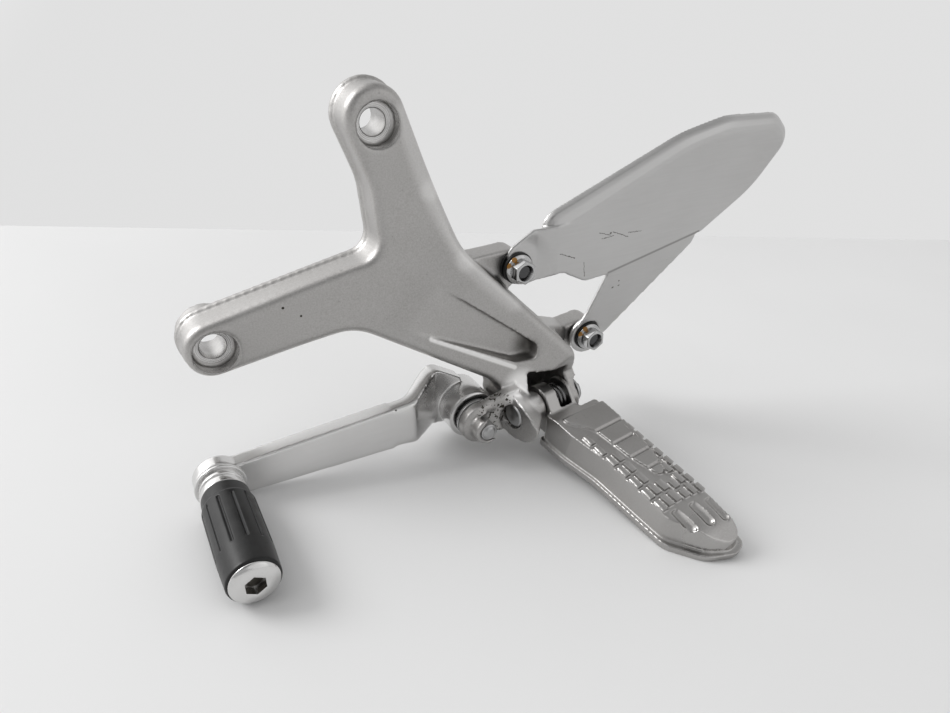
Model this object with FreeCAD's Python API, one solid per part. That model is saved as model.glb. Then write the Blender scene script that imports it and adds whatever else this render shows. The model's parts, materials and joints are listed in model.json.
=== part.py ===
import FreeCAD, Part
import math
import os

V = FreeCAD.Vector

# Frame: +X rearward, +Y inward to the machine, +Z up; origin midway between the two mounting bolts.
# All sizes in millimetres.

# Mounting bosses
BOLT_DX = 37.3
BOLT_DZ = 40.1
BOLT_HOLE_R = 5.5
CBORE_R = 9.0
CBORE_FLOOR_Y = -17.0
BOSS_R = 12.2
BOSS_BACK_Y = 0.0

# Hanger casting
LEAN = 42.2
FRONT_Y = -24.0
BACK_Y = -7.0
BEND = 17.4
BEND_W = 38.0
BEND_R = 120.0
FAR_W = 170.0
SIDE_STEP = 1.2
LIP_T = 3.0
EDGE_R = 4.0
SKIN = 5.5
WALL = 5.0

# Footpeg pivot
PEG_X = 109.9
PEG_Y = -49.6
PEG_Z = -90.9
PEG_SWEEP = 9.0
PEG_DROOP = 11.0
SLOT_FRONT = 16.5
SLOT_REAR = 4.3
PAD_V = -12.5
SIDE_GAP = 0.3
CHEEK_FRONT = 11.5
CHEEK_REAR = 4.5
PAD_R = 7.2
PIN_R = 4.25
PIN_GAP = 0.06
PIN_HEAD_R = 5.8
PIN_HEAD_T = 3.0

# Footpeg
PEG_LENGTH = 105.0
DECK_N = 2.7
FLANGE_T = 3.2
SIDE_IN = 1.5
ROOT_U = 7.6
TREAD_H = 1.3

# Gear lever
LEVER_X = 67.0
LEVER_Z = -91.5
LUG_R = 9.8
LUG_TIP_R = 6.6
LUG_BAND = 5.5
LUG_OUT_Y = -59.5
LUG_IN_Y = -47.4
LEVER_BOSS_R = 12.0
LEVER_BOSS_OUT_Y = -44.0
LEVER_BOSS_IN_Y = -24.0
BUSH_R = 8.0
SHOULDER_R = 6.0
RUN_GAP = 0.05
THREAD_R = 4.0
BLADE_OUT_Y = -46.5
BLADE_T = 8.0
ARM_T = 8.0
WASHER_T = 1.4

# Toe peg
TOE_X = -48.0
TOE_Z = -85.8
TOE_R = 10.2
TOE_COLLAR = 7.5
TOE_RUBBER = 47.0
TOE_SCREW_R = 4.0

# Heel guard
SHEET = 2.0
GUARD_Y = -31.0
BOLT1_X = 98.8
BOLT1_Z = -29.3
BOLT2_X = 144.0
BOLT2_Z = -77.0
LEG_IN = 5.0
TAB_IN = 3.0
GUARD_BOLT_R = 3.0
SLEEVE_R = 4.5
GROMMET_R = 7.6
GROMMET_NECK_R = 6.0
GROMMET_LIP = 1.2

# Seats between pieces of one body
FIT = 0.03

# Footpeg details
TANG_R = 8.6
STOP_GAP = 0.4
SPRING_R = 6.4
SPRING_WIRE = 0.75
SPRING_HALF = 3.0
SPRING_MID = -1.8
SPRING_TURNS = 2
PIN_TAIL = 3.2
PIN_END = 1.2
CLIP_T = 0.8
CLIP_BORE = 3.2

# Lever details
PIVOT_HEAD_R = 8.0
PIVOT_HEAD_T = 6.0
SEAL_R = 9.4
SEAL_BORE = 8.0
TOE_EYE_R = 9.8
TOE_WASHER_T = 1.5
TOE_CORE_R = 6.2
TOE_CAP_R = 8.9
TOE_GROOVES = 12
TOE_KEY = 7.0
TOE_KEY_DEPTH = 2.0
LINK_X = 18.0
LINK_Z = -86.0
LINK_R = 6.0
LINK_T = 5.0
LINK_HOLE_R = 2.6

# Hanger details
SCOOP_Y0 = -29.0
SCOOP_Y1 = -41.0
WEB_U = 15.0
SLOT_TOP = 16.5
CHEEK_SLOPE = 9.0
FOLD = 80.0
FOLD_GAP = 0.5
LUG_T = 12.0
LUG_END_R = 8.2
LUG_NECK = 12.0

# Heel guard form
TAB_Y = GUARD_Y + TAB_IN
LEG_Y = GUARD_Y + LEG_IN
TAB_X0 = 80.0
TAB_X1 = 109.0
PANEL_X0 = 119.0
RIM_IN = 6.0
ROLL_END = -13.0
TIP_X = 266.0



def at(x, z, y=0.0):
    return V(x, y, z)


def rounded(points, place):
    """Closed wire through corner points (a, b, radius); place maps (a, b) to 3-D."""
    edges = []
    n = len(points)
    ends = []
    for i in range(n):
        a, b, r = points[i]
        pa, pb, _ = points[i - 1]
        na, nb, _ = points[(i + 1) % n]
        l1 = math.hypot(pa - a, pb - b)
        l2 = math.hypot(na - a, nb - b)
        u1 = ((pa - a) / l1, (pb - b) / l1)
        u2 = ((na - a) / l2, (nb - b) / l2)
        half = math.acos(max(-1.0, min(1.0, u1[0] * u2[0] + u1[1] * u2[1]))) / 2
        if r <= 0 or half > 1.56:
            ends.append(((a, b), None, (a, b)))
            continue
        t = r / math.tan(half)
        m = r / math.sin(half) - r
        bis = (u1[0] + u2[0], u1[1] + u2[1])
        lb = math.hypot(*bis)
        mid = (a + bis[0] / lb * m, b + bis[1] / lb * m)
        ends.append(((a + u1[0] * t, b + u1[1] * t), mid, (a + u2[0] * t, b + u2[1] * t)))
    for i in range(n):
        start, mid, stop = ends[i]
        if mid is not None:
            edges.append(Part.Arc(place(*start), place(*mid), place(*stop)).toShape())
        nxt = ends[(i + 1) % n][0]
        if math.hypot(nxt[0] - stop[0], nxt[1] - stop[1]) > 1e-4:
            edges.append(Part.makeLine(place(*stop), place(*nxt)))
    return Part.Wire(edges)


def prism_y(points, y0, y1):
    """Outline in X-Z with corner radii, extruded from y0 to y1."""
    wire = rounded(points, lambda a, b: at(a, b, y0))
    return Part.Face(wire).extrude(V(0, y1 - y0, 0))


def cyl_y(x, z, r, y0, y1):
    return Part.makeCylinder(r, abs(y1 - y0), at(x, z, min(y0, y1)), V(0, 1, 0))


def ring_y(x, z, r_out, r_in, y0, y1):
    return cyl_y(x, z, r_out, y0, y1).cut(cyl_y(x, z, r_in, min(y0, y1) - 1, max(y0, y1) + 1))


def peg_place():
    """Placement of the footpeg frame: X along the peg, Y along the pivot pin to the rear, Z out of the deck."""
    s = math.radians(PEG_SWEEP)
    t = math.radians(PEG_DROOP)
    pin = V(math.cos(s), math.sin(s), 0)
    flat = V(math.sin(s), -math.cos(s), 0)
    along = flat * math.cos(t) - V(0, 0, 1) * math.sin(t)
    return FreeCAD.Placement(V(PEG_X, PEG_Y, PEG_Z), FreeCAD.Rotation(along, pin, along.cross(pin), "XYZ"))


PEG = peg_place()


def in_peg(shape):
    out = shape.copy()
    out.Placement = PEG.multiply(out.Placement)
    return out


def slice_peg(points, v0, v1):
    """Outline in the peg's length-height plane, extruded across the peg."""
    wire = rounded(points, lambda a, b: V(a, v0, b))
    return Part.Face(wire).extrude(V(0, v1 - v0, 0))


def plan_peg(points, n0, n1):
    """Outline in the peg's deck plane, extruded through its height."""
    wire = rounded(points, lambda a, b: V(a, b, n0))
    return Part.Face(wire).extrude(V(0, 0, n1 - n0))


OUTLINE = [
    (18.6, 51.1, 13.7),
    (45.4, 60.1, 13.7),
    (71.5, -14.5, 30.0),
    (119.0, -66.0, 9.0),
    (122.5, -84.0, 0),
    (82.0, -84.0, 0),
    (75.0, -76.0, 0),
    (20.0, -44.6, 22.0),
    (-47.9, -53.9, 12.2),
    (-52.3, -29.0, 12.2),
    (33.6, -12.0, 9.0),
    (31.2, 17.0, 30.0),
]


def band(front, back):
    """Slab that follows the bend of the hanger between two depths, straight, bent once and straight again."""
    c = math.cos(math.radians(LEAN))
    s = math.sin(math.radians(LEAN))
    rise = math.tan(math.radians(BEND)) * (FAR_W - BEND_W)
    points = [(-FAR_W, front, 0), (BEND_W, front, BEND_R), (FAR_W, front - rise, 0),
              (FAR_W, back - rise, 0), (BEND_W, back, BEND_R), (-FAR_W, back, 0)]
    wire = rounded(points, lambda w, y: V(c * w - s * FAR_W, y, -s * w - c * FAR_W))
    return Part.Face(wire).extrude(V(s * 2 * FAR_W, 0, c * 2 * FAR_W))


def inset(points, d):
    face = Part.Face(rounded(points, lambda a, b: at(a, b, 0)))
    return face.makeOffset2D(-d)


def front_body():
    """Bent arm casting: inset main body with rounded front edge, and the wider lip at its back."""
    core = inset(OUTLINE, SIDE_STEP)
    core.translate(V(0, -90, 0))
    solid = core.extrude(V(0, 95, 0)).common(band(FRONT_Y, BACK_Y))
    face = min(solid.Faces, key=lambda f: f.CenterOfMass.y if f.Area > 3000 else 99)
    solid = solid.makeFillet(EDGE_R, [e for e in face.Edges if e.CenterOfMass.z > -78])
    lip = prism_y(OUTLINE, -90, 5).common(band(BACK_Y - LIP_T, BACK_Y))
    return solid.fuse(lip)


def back_hollow():
    """Cored-out back of the arms, leaving the front skin, the side walls and the boss columns."""
    core = inset(OUTLINE, SIDE_STEP + WALL)
    core.translate(V(0, -90, 0))
    hollow = core.extrude(V(0, 95, 0)).common(band(FRONT_Y + SKIN, BACK_Y + 3))
    for sign in (1, -1):
        hollow = hollow.cut(cyl_y(sign * BOLT_DX, sign * BOLT_DZ, BOSS_R + 1.5, -60, 5))
    keep = prism_y([(60, -20, 0), (140, -20, 0), (140, -110, 0), (60, -110, 0)], -90, 5)
    return hollow.cut(keep)


def scoop():
    """Long triangular recess in the front face, deepest at the footpeg end."""
    c = math.cos(math.radians(LEAN))
    s = math.sin(math.radians(LEAN))
    corners = [(48, SCOOP_Y0), (118, SCOOP_Y1), (118, -80), (48, -80)]
    wire = Part.makePolygon([V(c * w - s * 120, y, -s * w - c * 120) for w, y in corners + corners[:1]])
    wedge = Part.Face(wire).extrude(V(s * 240, 0, c * 240))
    tri = [(26, -39.5, 2), (52, -24.5, 4), (99.0, -60.5, 2.5), (98.0, -67.0, 2.5), (88.5, -67.5, 5)]
    return prism_y(tri, -90, 5).common(wedge)


def beyond(p, q, r):
    """Block that lies outside the plane through three points of the peg frame, on the side away from the pin."""
    normal = (q - p).cross(r - p)
    normal.normalize()
    if normal.x + 0.3 * normal.z < 0:
        normal = normal * -1
    turn = FreeCAD.Rotation(V(0, 0, 1), normal)
    block = Part.makeBox(160, 160, 60, V(-80, -80, 0))
    block.Placement = FreeCAD.Placement(p, turn)
    return block


def clevis():
    """Two cheeks and the web behind them, in the peg frame; the front cheek leans in to the slot and ends rounded."""
    front_v = -SLOT_FRONT - CHEEK_FRONT
    root = -WEB_U - 9
    ridge = [(-4, 11.3), (10, 8.4), (18.5, 4.6), (17.5, -1), (12, -8)]
    inner = [(-0.5, 9.0), (5.5, 3.0), (7.8, -3.4), (7.0, -7.0)]
    side = [(root, 11, 0)] + [(u, n, r) for (u, n), r in zip(ridge, (4, 4, 2.5, 4, 6))] + [(3, -12, 5), (root, -13, 0)]
    front = slice_peg(side, front_v, -SLOT_FRONT)
    for (a, b), (c, d), (e, f) in zip(ridge, ridge[1:], inner):
        front = front.cut(beyond(V(a, front_v, b), V(c, front_v, d), V(e, -SLOT_FRONT, f)))
    back = [(root, 20, 0), (CHEEK_SLOPE - 18, 18, 3), (CHEEK_SLOPE, 0, 8), (6.5, -12, 8), (-10, -12, 6),
            (root, -10, 0)]
    rear = slice_peg(back, SLOT_REAR, SLOT_REAR + CHEEK_REAR)
    web = slice_peg([(root, 24, 0), (-WEB_U, 24, 0), (-WEB_U, -12, 2), (root, -12, 2)],
                    -SLOT_FRONT - 2, SLOT_REAR + 2)
    return in_peg(front.fuse(pin_pad()).fuse(rear).fuse(web))


def pin_pad():
    """Raised pad round the pin on the inner side of the front cheek, where the peg's tang runs."""
    return Part.makeCylinder(PAD_R, PAD_V + SLOT_FRONT + 6, V(0, -SLOT_FRONT - 6, 0), V(0, 1, 0))


def clevis_cuts():
    """Slot for the tang, pin hole, seat of the pin's head and the hole that anchors the spring."""
    slot = slice_peg([(-WEB_U, SLOT_TOP, 3), (60, SLOT_TOP, 0), (60, -60, 0), (-WEB_U, -60, 0)], -SLOT_FRONT, SLOT_REAR)
    slot = slot.cut(pin_pad())
    hole = Part.makeCylinder(PIN_R + FIT, 70, V(0, -35, 0), V(0, 1, 0))
    seat = Part.makeCylinder(PIN_HEAD_R + 0.25, 20, V(0, -SLOT_FRONT - CHEEK_FRONT - 20 + PIN_HEAD_T, 0), V(0, 1, 0))
    anchor = Part.makeCylinder(SPRING_WIRE + 0.3, 6, V(-WEB_U - 5, SPRING_MID + coil_half(), -SPRING_R), V(1, 0, 0))
    return [in_peg(slot), in_peg(hole), in_peg(seat), in_peg(anchor)]


def fold_relief():
    """Facet over the slot that the deck of the folded peg clears, run out into the slope of the rear cheek."""
    c = math.cos(math.radians(FOLD))
    s = math.sin(math.radians(FOLD))
    lift = DECK_N + TREAD_H + FOLD_GAP
    meet = (CHEEK_SLOPE * s + lift) / (c + s)
    top = 2 * SLOT_TOP
    low = meet / 2
    points = [(CHEEK_SLOPE - meet, meet, 0), ((top * c - lift) / s, top, 0), (60, top, 0), (60, low, 0),
              (CHEEK_SLOPE - low, low, 0)]
    return in_peg(slice_peg(points, -SLOT_FRONT, 30))


def guard_lugs():
    """Two arms at the back of the casting that carry the heel guard."""
    y1 = TAB_Y + SHEET + GROMMET_LIP + FIT
    y2 = LEG_Y + SHEET + GROMMET_LIP + FIT
    upper = prism_y([(76, -22, 3), (BOLT1_X + 2, BOLT1_Z + LUG_END_R, 7), (BOLT1_X + LUG_END_R, BOLT1_Z - 4, 7),
                     (BOLT1_X - 2, BOLT1_Z - 11, 6), (84, -46, 3), (70, -34, 3)], y1, y1 + LUG_T)
    root = rounded([(-44, -54, 0), (-44, -73, 0), (-30, -73, 0), (-30, -54, 0)], lambda a, b: V(106, a, b))
    h = LUG_END_R - 1.5
    tip = rounded([(y2, BOLT2_Z + h, 0), (y2, BOLT2_Z - h, 0), (y2 + LUG_T, BOLT2_Z - h, 0), (y2 + LUG_T, BOLT2_Z + h, 0)],
                  lambda a, b: V(BOLT2_X - LUG_NECK, a, b))
    lower = Part.makeLoft([root, tip], True, True).fuse(cyl_y(BOLT2_X, BOLT2_Z, LUG_END_R, y2, y2 + LUG_T))
    lower = lower.fuse(prism_y([(BOLT2_X - LUG_NECK, BOLT2_Z + h, 0), (BOLT2_X, BOLT2_Z + LUG_END_R - 0.2, 0),
                                (BOLT2_X, BOLT2_Z - LUG_END_R + 0.2, 0), (BOLT2_X - LUG_NECK, BOLT2_Z - h, 0)], y2, y2 + LUG_T))
    return upper.fuse(lower)


def lever_lug():
    """Stepped ear in front of the cheek that takes the gear lever's pivot bolt, joined to the cheek by a flat web."""
    step = LUG_IN_Y - LUG_BAND
    profile = [(0, LUG_IN_Y, 0), (LUG_R, LUG_IN_Y, 0), (LUG_R, step, 1.2), (LUG_TIP_R, step, 0.8),
               (LUG_TIP_R, LUG_OUT_Y, 1.0), (0, LUG_OUT_Y, 0)]
    ear = revolve_y(profile, LEVER_X, LEVER_Z)
    reach = LEVER_X + 2 * LUG_R
    web = prism_y([(LEVER_X - 4, LEVER_Z + LUG_R - 1, 2), (LEVER_X + 3, LEVER_Z + LUG_R, 6), (reach, LEVER_Z + 15, 0),
                   (reach, LEVER_Z - LUG_TIP_R, 0), (LEVER_X + 2, LEVER_Z, 3)], LUG_OUT_Y, LUG_IN_Y)
    face = [(LEVER_X - LUG_R, LUG_IN_Y), (LEVER_X - LUG_R, LUG_IN_Y - 1), (reach - 4.2, LUG_IN_Y - 6.6),
            (reach, LUG_IN_Y - 6.6), (reach, LUG_IN_Y)]
    wire = Part.makePolygon([V(x, y, LEVER_Z - 40) for x, y in face + face[:1]])
    return ear.fuse(web.common(Part.Face(wire).extrude(V(0, 0, 80))))


def hanger_casting():
    solid = front_body().cut(back_hollow())
    for sign in (1, -1):
        solid = solid.fuse(cyl_y(sign * BOLT_DX, sign * BOLT_DZ, BOSS_R, CBORE_FLOOR_Y, BOSS_BACK_Y))
    solid = solid.fuse(clevis()).fuse(guard_lugs()).fuse(lever_lug())
    solid = solid.cut(scoop())
    for tool in clevis_cuts() + [fold_relief()]:
        solid = solid.cut(tool)
    for sign in (1, -1):
        solid = solid.cut(cyl_y(sign * BOLT_DX, sign * BOLT_DZ, BOLT_HOLE_R, -60, 5))
        solid = solid.cut(cyl_y(sign * BOLT_DX, sign * BOLT_DZ, CBORE_R, -60, CBORE_FLOOR_Y))
    solid = solid.cut(cyl_y(LEVER_X, LEVER_Z, THREAD_R + FIT, -70, LUG_IN_Y + 1))
    solid = solid.cut(cyl_y(LEVER_X, LEVER_Z, LEVER_BOSS_R + 1.0, LUG_IN_Y, LEVER_BOSS_IN_Y + 12))
    for x, z, y in ((BOLT1_X, BOLT1_Z, TAB_Y), (BOLT2_X, BOLT2_Z, LEG_Y)):
        solid = solid.cut(cyl_y(x, z, GUARD_BOLT_R + FIT, y - 5, y + SHEET + GROMMET_LIP + 15))
    return solid


def guard_pan(depth):
    """Filled pan of the guard's panel: its upper rim rolls back from the flat face to the given depth."""
    low = [(TIP_X - 57, -30.1, 6), (150, -42.1, 3), (136, -43, 8), (PANEL_X0 + 3, -35.5, 9)]
    rim = [(TAB_X1 - 1, -9.5, 10), (TIP_X - 76, 21.8, 90), (TIP_X - 48, 27.2, 40), (TIP_X - 13, 25.4, 13),
           (TIP_X, 12.8, 8), (TIP_X - 24, -11, 60)] + low
    flat = [(PANEL_X0, -17.5, 10), (TIP_X - 74, 13.8, 90), (TIP_X - 48, 18.8, 40), (TIP_X - 18, 18.2, 10),
            (TIP_X - 9, 10.8, 8), (TIP_X - 26, -11, 60)] + low
    wires = []
    for share, drop in ((0.0, 0.0), (0.35, 0.06), (0.66, 0.25), (0.87, 0.52), (1.0, 1.0)):
        mixed = [(a + (d - a) * share, b + (e - b) * share, r) for (a, b, r), (d, e, f) in zip(flat, rim)]
        wires.append(rounded(mixed, lambda a, b: at(a, b, GUARD_Y + depth * drop)))
    return Part.makeLoft(wires, True, True)


def guard_tab():
    """Tab of the guard: flat round its bolt, then joggled out to the panel."""
    flat = [(TAB_X0, TAB_Y), (TAB_X1, TAB_Y), (PANEL_X0, GUARD_Y), (PANEL_X0 + 12, GUARD_Y)]
    strip = flat + [(x, y + SHEET) for x, y in reversed(flat)]
    wire = Part.makePolygon([V(x, y, -90) for x, y in strip + strip[:1]])
    sheet = Part.Face(wire).extrude(V(0, 0, 160))
    outline = [(BOLT1_X - 2.8, BOLT1_Z - 8.4, 6), (BOLT1_X - 5.4, BOLT1_Z + 8.6, 6), (TAB_X1 - 2, -13.0, 5),
               (PANEL_X0 + 4, -11.5, 5), (PANEL_X0 + 9, -13, 3), (PANEL_X0 + 9, -38, 0),
               (PANEL_X0 + 3, -35.5, 9), (BOLT1_X + 5.2, BOLT1_Z - 9.6, 6)]
    return prism_y(outline, -60, 5).common(sheet)


def guard_leg():
    """Leg bent in along a crease of the panel, with a flat pad round the lower bolt."""
    p1 = V(152, GUARD_Y, -40.7)
    p2 = V(209, GUARD_Y, -29.2)
    foot = V(BOLT2_X, LEG_Y, BOLT2_Z)
    normal = (p2 - p1).cross(foot - p1)
    normal.normalize()
    if normal.y < 0:
        normal = normal * -1

    def on_leg(x, z):
        return V(x, p1.y - (normal.x * (x - p1.x) + normal.z * (z - p1.z)) / normal.y, z)

    points = [(150.5, -40.9, 0), (206.5, -29.6, 2), (204, -36, 8), (BOLT2_X + 9.0, BOLT2_Z - 4.5, 6),
              (BOLT2_X - 2, BOLT2_Z - 11, 8), (BOLT2_X - 11, BOLT2_Z + 1, 8), (BOLT2_X - 2.5, BOLT2_Z + 13, 10)]
    leg = Part.Face(rounded(points, on_leg)).extrude(normal * SHEET)
    leg = leg.cut(cyl_y(BOLT2_X, BOLT2_Z, GROMMET_R + 0.4, -60, 5))
    return leg.fuse(cyl_y(BOLT2_X, BOLT2_Z, GROMMET_R + 2.6, LEG_Y, LEG_Y + SHEET))


def heel_guard():
    """Pressed sheet: joggled tab, wide panel with its upper rim rolled back, and a leg bent in to the lower bolt."""
    pan = guard_pan(RIM_IN)
    inner = pan.copy()
    inner.translate(V(0, SHEET, 0))
    rear = GUARD_Y + 2 * RIM_IN
    foot = [(TAB_X0, ROLL_END, 0), (TIP_X, ROLL_END, 0), (TIP_X, -60, 0), (TAB_X0, -60, 0)]
    side = [(TAB_X0, ROLL_END, 0), (PANEL_X0 + 6, ROLL_END, 0), (PANEL_X0 + 6, -60, 0), (TAB_X0, -60, 0)]
    panel = pan.cut(inner).cut(prism_y(foot, GUARD_Y + SHEET, rear)).cut(prism_y(side, GUARD_Y - SHEET, rear))
    guard = panel.fuse(guard_tab()).fuse(guard_leg())
    for x, z in ((BOLT1_X, BOLT1_Z), (BOLT2_X, BOLT2_Z)):
        guard = guard.cut(cyl_y(x, z, GROMMET_NECK_R + FIT, -60, 5))
    return guard.removeSplitter()


def peg_plan(inset, root, nose):
    """Lopsided plan of the peg: flared at the root, waisted in front, fuller at the rear, oblique nose."""
    left = inset - 14.4
    right = 16.8 - inset
    tip = PEG_LENGTH + 1.5 - nose
    return [(root, left - 3.0, 2.5), (26, left - 2.6, 14), (44, left, 30), (tip - 20, left - 0.2, 10),
            (tip - 5.5, left + 10, 15), (tip, right - 8, 8.5), (tip - 2, right, 5), (60, right - 0.6, 60),
            (12.6, right - 0.4, 2)]


def footpeg():
    """Cast peg in its own frame: tang with two ears, flanged body with domed nose, tread and flutes."""
    side = [(ROOT_U, -14.5, 0), (PEG_LENGTH + 2, -10.5, 0), (PEG_LENGTH + 2, FLANGE_T - 10.5, 0),
            (ROOT_U, FLANGE_T - 14.5, 0)]
    solid = plan_peg(peg_plan(0, ROOT_U + 2, 0), -20, 5).common(slice_peg(side, -24, 24))
    low = rounded(peg_plan(SIDE_IN, ROOT_U + 3, SIDE_IN), lambda a, b: V(a, b, -13))
    high = rounded(peg_plan(2 * SIDE_IN - 0.4, ROOT_U, 2 * SIDE_IN + 1), lambda a, b: V(a, b, DECK_N))
    body = Part.makeLoft([low, high], True, True)
    end = PEG_LENGTH + 2
    crown = [(ROOT_U - 1, -12.6, 0), (end, -8.4, 0), (end, -5.0, 5), (end - 15, DECK_N, 22), (ROOT_U + 8, DECK_N, 4),
             (ROOT_U - 1, 1.2, 0)]
    solid = solid.fuse(body.common(slice_peg(crown, -24, 24)))
    solid = solid.fuse(tread())
    for v, u in ((-6.4, 80.6), (3.4, 82.0), (11.8, 84.0)):
        flute = Part.makeCylinder(2.7, 10, V(u, v, DECK_N + 1.6), V(1, 0, -0.16))
        solid = solid.cut(flute.fuse(Part.makeSphere(2.7, V(u + 9.87, v, DECK_N + 1.6 - 1.58))))
    notch = slice_peg([(-30, 60, 0), (ROOT_U + 5, 60, 0), (ROOT_U + 5, -60, 0), (-30, -60, 0)],
                      SLOT_REAR - SIDE_GAP, 40)
    solid = solid.cut(notch)
    root = slice_peg([(-TANG_R, TANG_R, 7), (3, TANG_R, 3), (10, 1.6, 3), (18, 1.6, 0), (18, -12, 0), (4, -12, 3),
                      (-WEB_U + STOP_GAP, -11.0, 2), (-WEB_U + STOP_GAP, -4.5, 1.5), (-TANG_R, -2.0, 3)],
                     PAD_V + SIDE_GAP, SLOT_REAR - SIDE_GAP)
    solid = solid.fuse(root)
    floor = -SPRING_R - SPRING_WIRE - 0.2
    solid = solid.cut(slice_peg([(-40, 40, 0), (SPRING_R + 2.6, 40, 0), (SPRING_R + 2.6, floor, 0), (-40, floor, 0)],
                                SPRING_MID - SPRING_HALF - 0.6, SPRING_MID + SPRING_HALF + 0.6))
    solid = solid.cut(Part.makeCylinder(PIN_R + PIN_GAP, 60, V(0, -30, 0), V(0, 1, 0)))
    return in_peg(solid.removeSplitter())


def tread():
    """Raised tongue with cross grooves, and rows of blocks beside it."""
    top = DECK_N + TREAD_H
    outline = [(16.5, -11.3, 1), (19, -11.2, 3), (29, -2.9, 12), (49, -1.0, 12), (66, 3.2, 2.4), (61.5, 8.2, 6),
               (47, 12.4, 12), (30, 14.4, 10), (16.5, 14.6, 1)]
    solid = plan_peg(outline, DECK_N - 1, top)
    for u in (29.5, 39.5, 49.5, 58.0):
        bar = plan_peg([(u, -20, 0), (u + 1.5, -20, 0), (u + 1.5, 20, 0), (u, 20, 0)], top - 0.9, top + 1)
        solid = solid.cut(bar)
    rows = [(-11.6, -8.4, 30.0, 80.5, 7), (-7.2, -4.0, 44.0, 80.0, 5), (-2.6, 1.0, 66.0, 80.0, 2),
            (2.6, 6.0, 69.0, 80.5, 2), (7.4, 10.2, 60.0, 81.0, 3), (11.4, 14.0, 34.0, 82.0, 8)]
    for v0, v1, u0, u1, count in rows:
        pitch = (u1 - u0) / count
        for i in range(count):
            a = u0 + i * pitch
            b = a + pitch - 1.7
            solid = solid.fuse(plan_peg([(a, v0, 0), (b, v0, 0), (b, v1, 0), (a, v1, 0)], DECK_N - 1, top))
    return solid


def peg_pin():
    """Pin from the front: low head in its seat, groove for the clip at the rear end."""
    head_v = -SLOT_FRONT - CHEEK_FRONT
    rear_v = SLOT_REAR + CHEEK_REAR
    pin = Part.makeCylinder(PIN_R, rear_v + PIN_TAIL - head_v - 1, V(0, head_v + 1, 0), V(0, 1, 0))
    head = Part.makeCylinder(PIN_HEAD_R, PIN_HEAD_T - FIT, V(0, head_v, 0), V(0, 1, 0))
    head = head.makeChamfer(0.7, [e for e in head.Edges if abs(e.CenterOfMass.y - head_v) < 0.01])
    groove_v = rear_v + PIN_TAIL - PIN_END - CLIP_T - 0.05
    groove = Part.makeCylinder(PIN_R + 1, CLIP_T + 0.1, V(0, groove_v, 0), V(0, 1, 0))
    groove = groove.cut(Part.makeCylinder(CLIP_BORE, 4, V(0, groove_v - 1, 0), V(0, 1, 0)))
    return in_peg(pin.fuse(head).cut(groove))


def pin_washer():
    v = SLOT_REAR + CHEEK_REAR + FIT
    t = PIN_TAIL - PIN_END - CLIP_T - 0.05 - 2 * FIT
    ring = Part.makeCylinder(PIN_R + 2.4, t, V(0, v, 0), V(0, 1, 0))
    return in_peg(ring.cut(Part.makeCylinder(PIN_R + 0.1, 10, V(0, v - 2, 0), V(0, 1, 0))))


def pin_clip():
    """Open retaining ring with three inner pads, snapped into the groove of the pin."""
    v = SLOT_REAR + CHEEK_REAR + PIN_TAIL - PIN_END - CLIP_T
    ring = Part.makeCylinder(PIN_R + 1.9, CLIP_T, V(0, v, 0), V(0, 1, 0))
    ring = ring.cut(Part.makeCylinder(PIN_R + 0.5, 4, V(0, v - 1, 0), V(0, 1, 0)))
    for k in range(3):
        pad = Part.makeBox(2.4, CLIP_T, 2.4, V(-1.2, v, CLIP_BORE - 0.6))
        pad.rotate(V(0, 0, 0), V(0, 1, 0), 180 + (k - 1) * 95)
        ring = ring.fuse(pad)
    ring = ring.cut(Part.makeCylinder(CLIP_BORE + FIT, 4, V(0, v - 1, 0), V(0, 1, 0)))
    ring = ring.cut(Part.makeBox(5.2, 4, 12, V(-2.6, v - 1, 0)))
    return in_peg(ring.removeSplitter())


def coil_half():
    """Half the length of the spring's coil, wire centre to wire centre."""
    return SPRING_HALF - SPRING_WIRE


def peg_spring():
    """Torsion spring round the pin: one leg presses the peg's floor down, the other is anchored in the web."""
    v0 = SPRING_MID - coil_half()
    pitch = 2 * coil_half() / SPRING_TURNS
    steps = 16
    points = [V((SPRING_R + 2) * k / 4, v0, -SPRING_R) for k in (4, 3, 2, 1)]
    for k in range(steps * SPRING_TURNS + 1):
        turn = 2 * math.pi * k / steps
        points.append(V(-SPRING_R * math.sin(turn), v0 + pitch * k / steps, -SPRING_R * math.cos(turn)))
    v1 = SPRING_MID + coil_half()
    points += [V(-(WEB_U + 3) * k / 8, v1, -SPRING_R) for k in range(1, 9)]
    curve = Part.BSplineCurve()
    curve.interpolate(points)
    ring = Part.Wire(Part.makeCircle(SPRING_WIRE, points[0], V(1, 0, 0)))
    wire = Part.Wire(curve.toShape()).makePipeShell([ring], True, False)
    if wire.Volume < 0:
        wire.reverse()
    return in_peg(wire)


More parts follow.
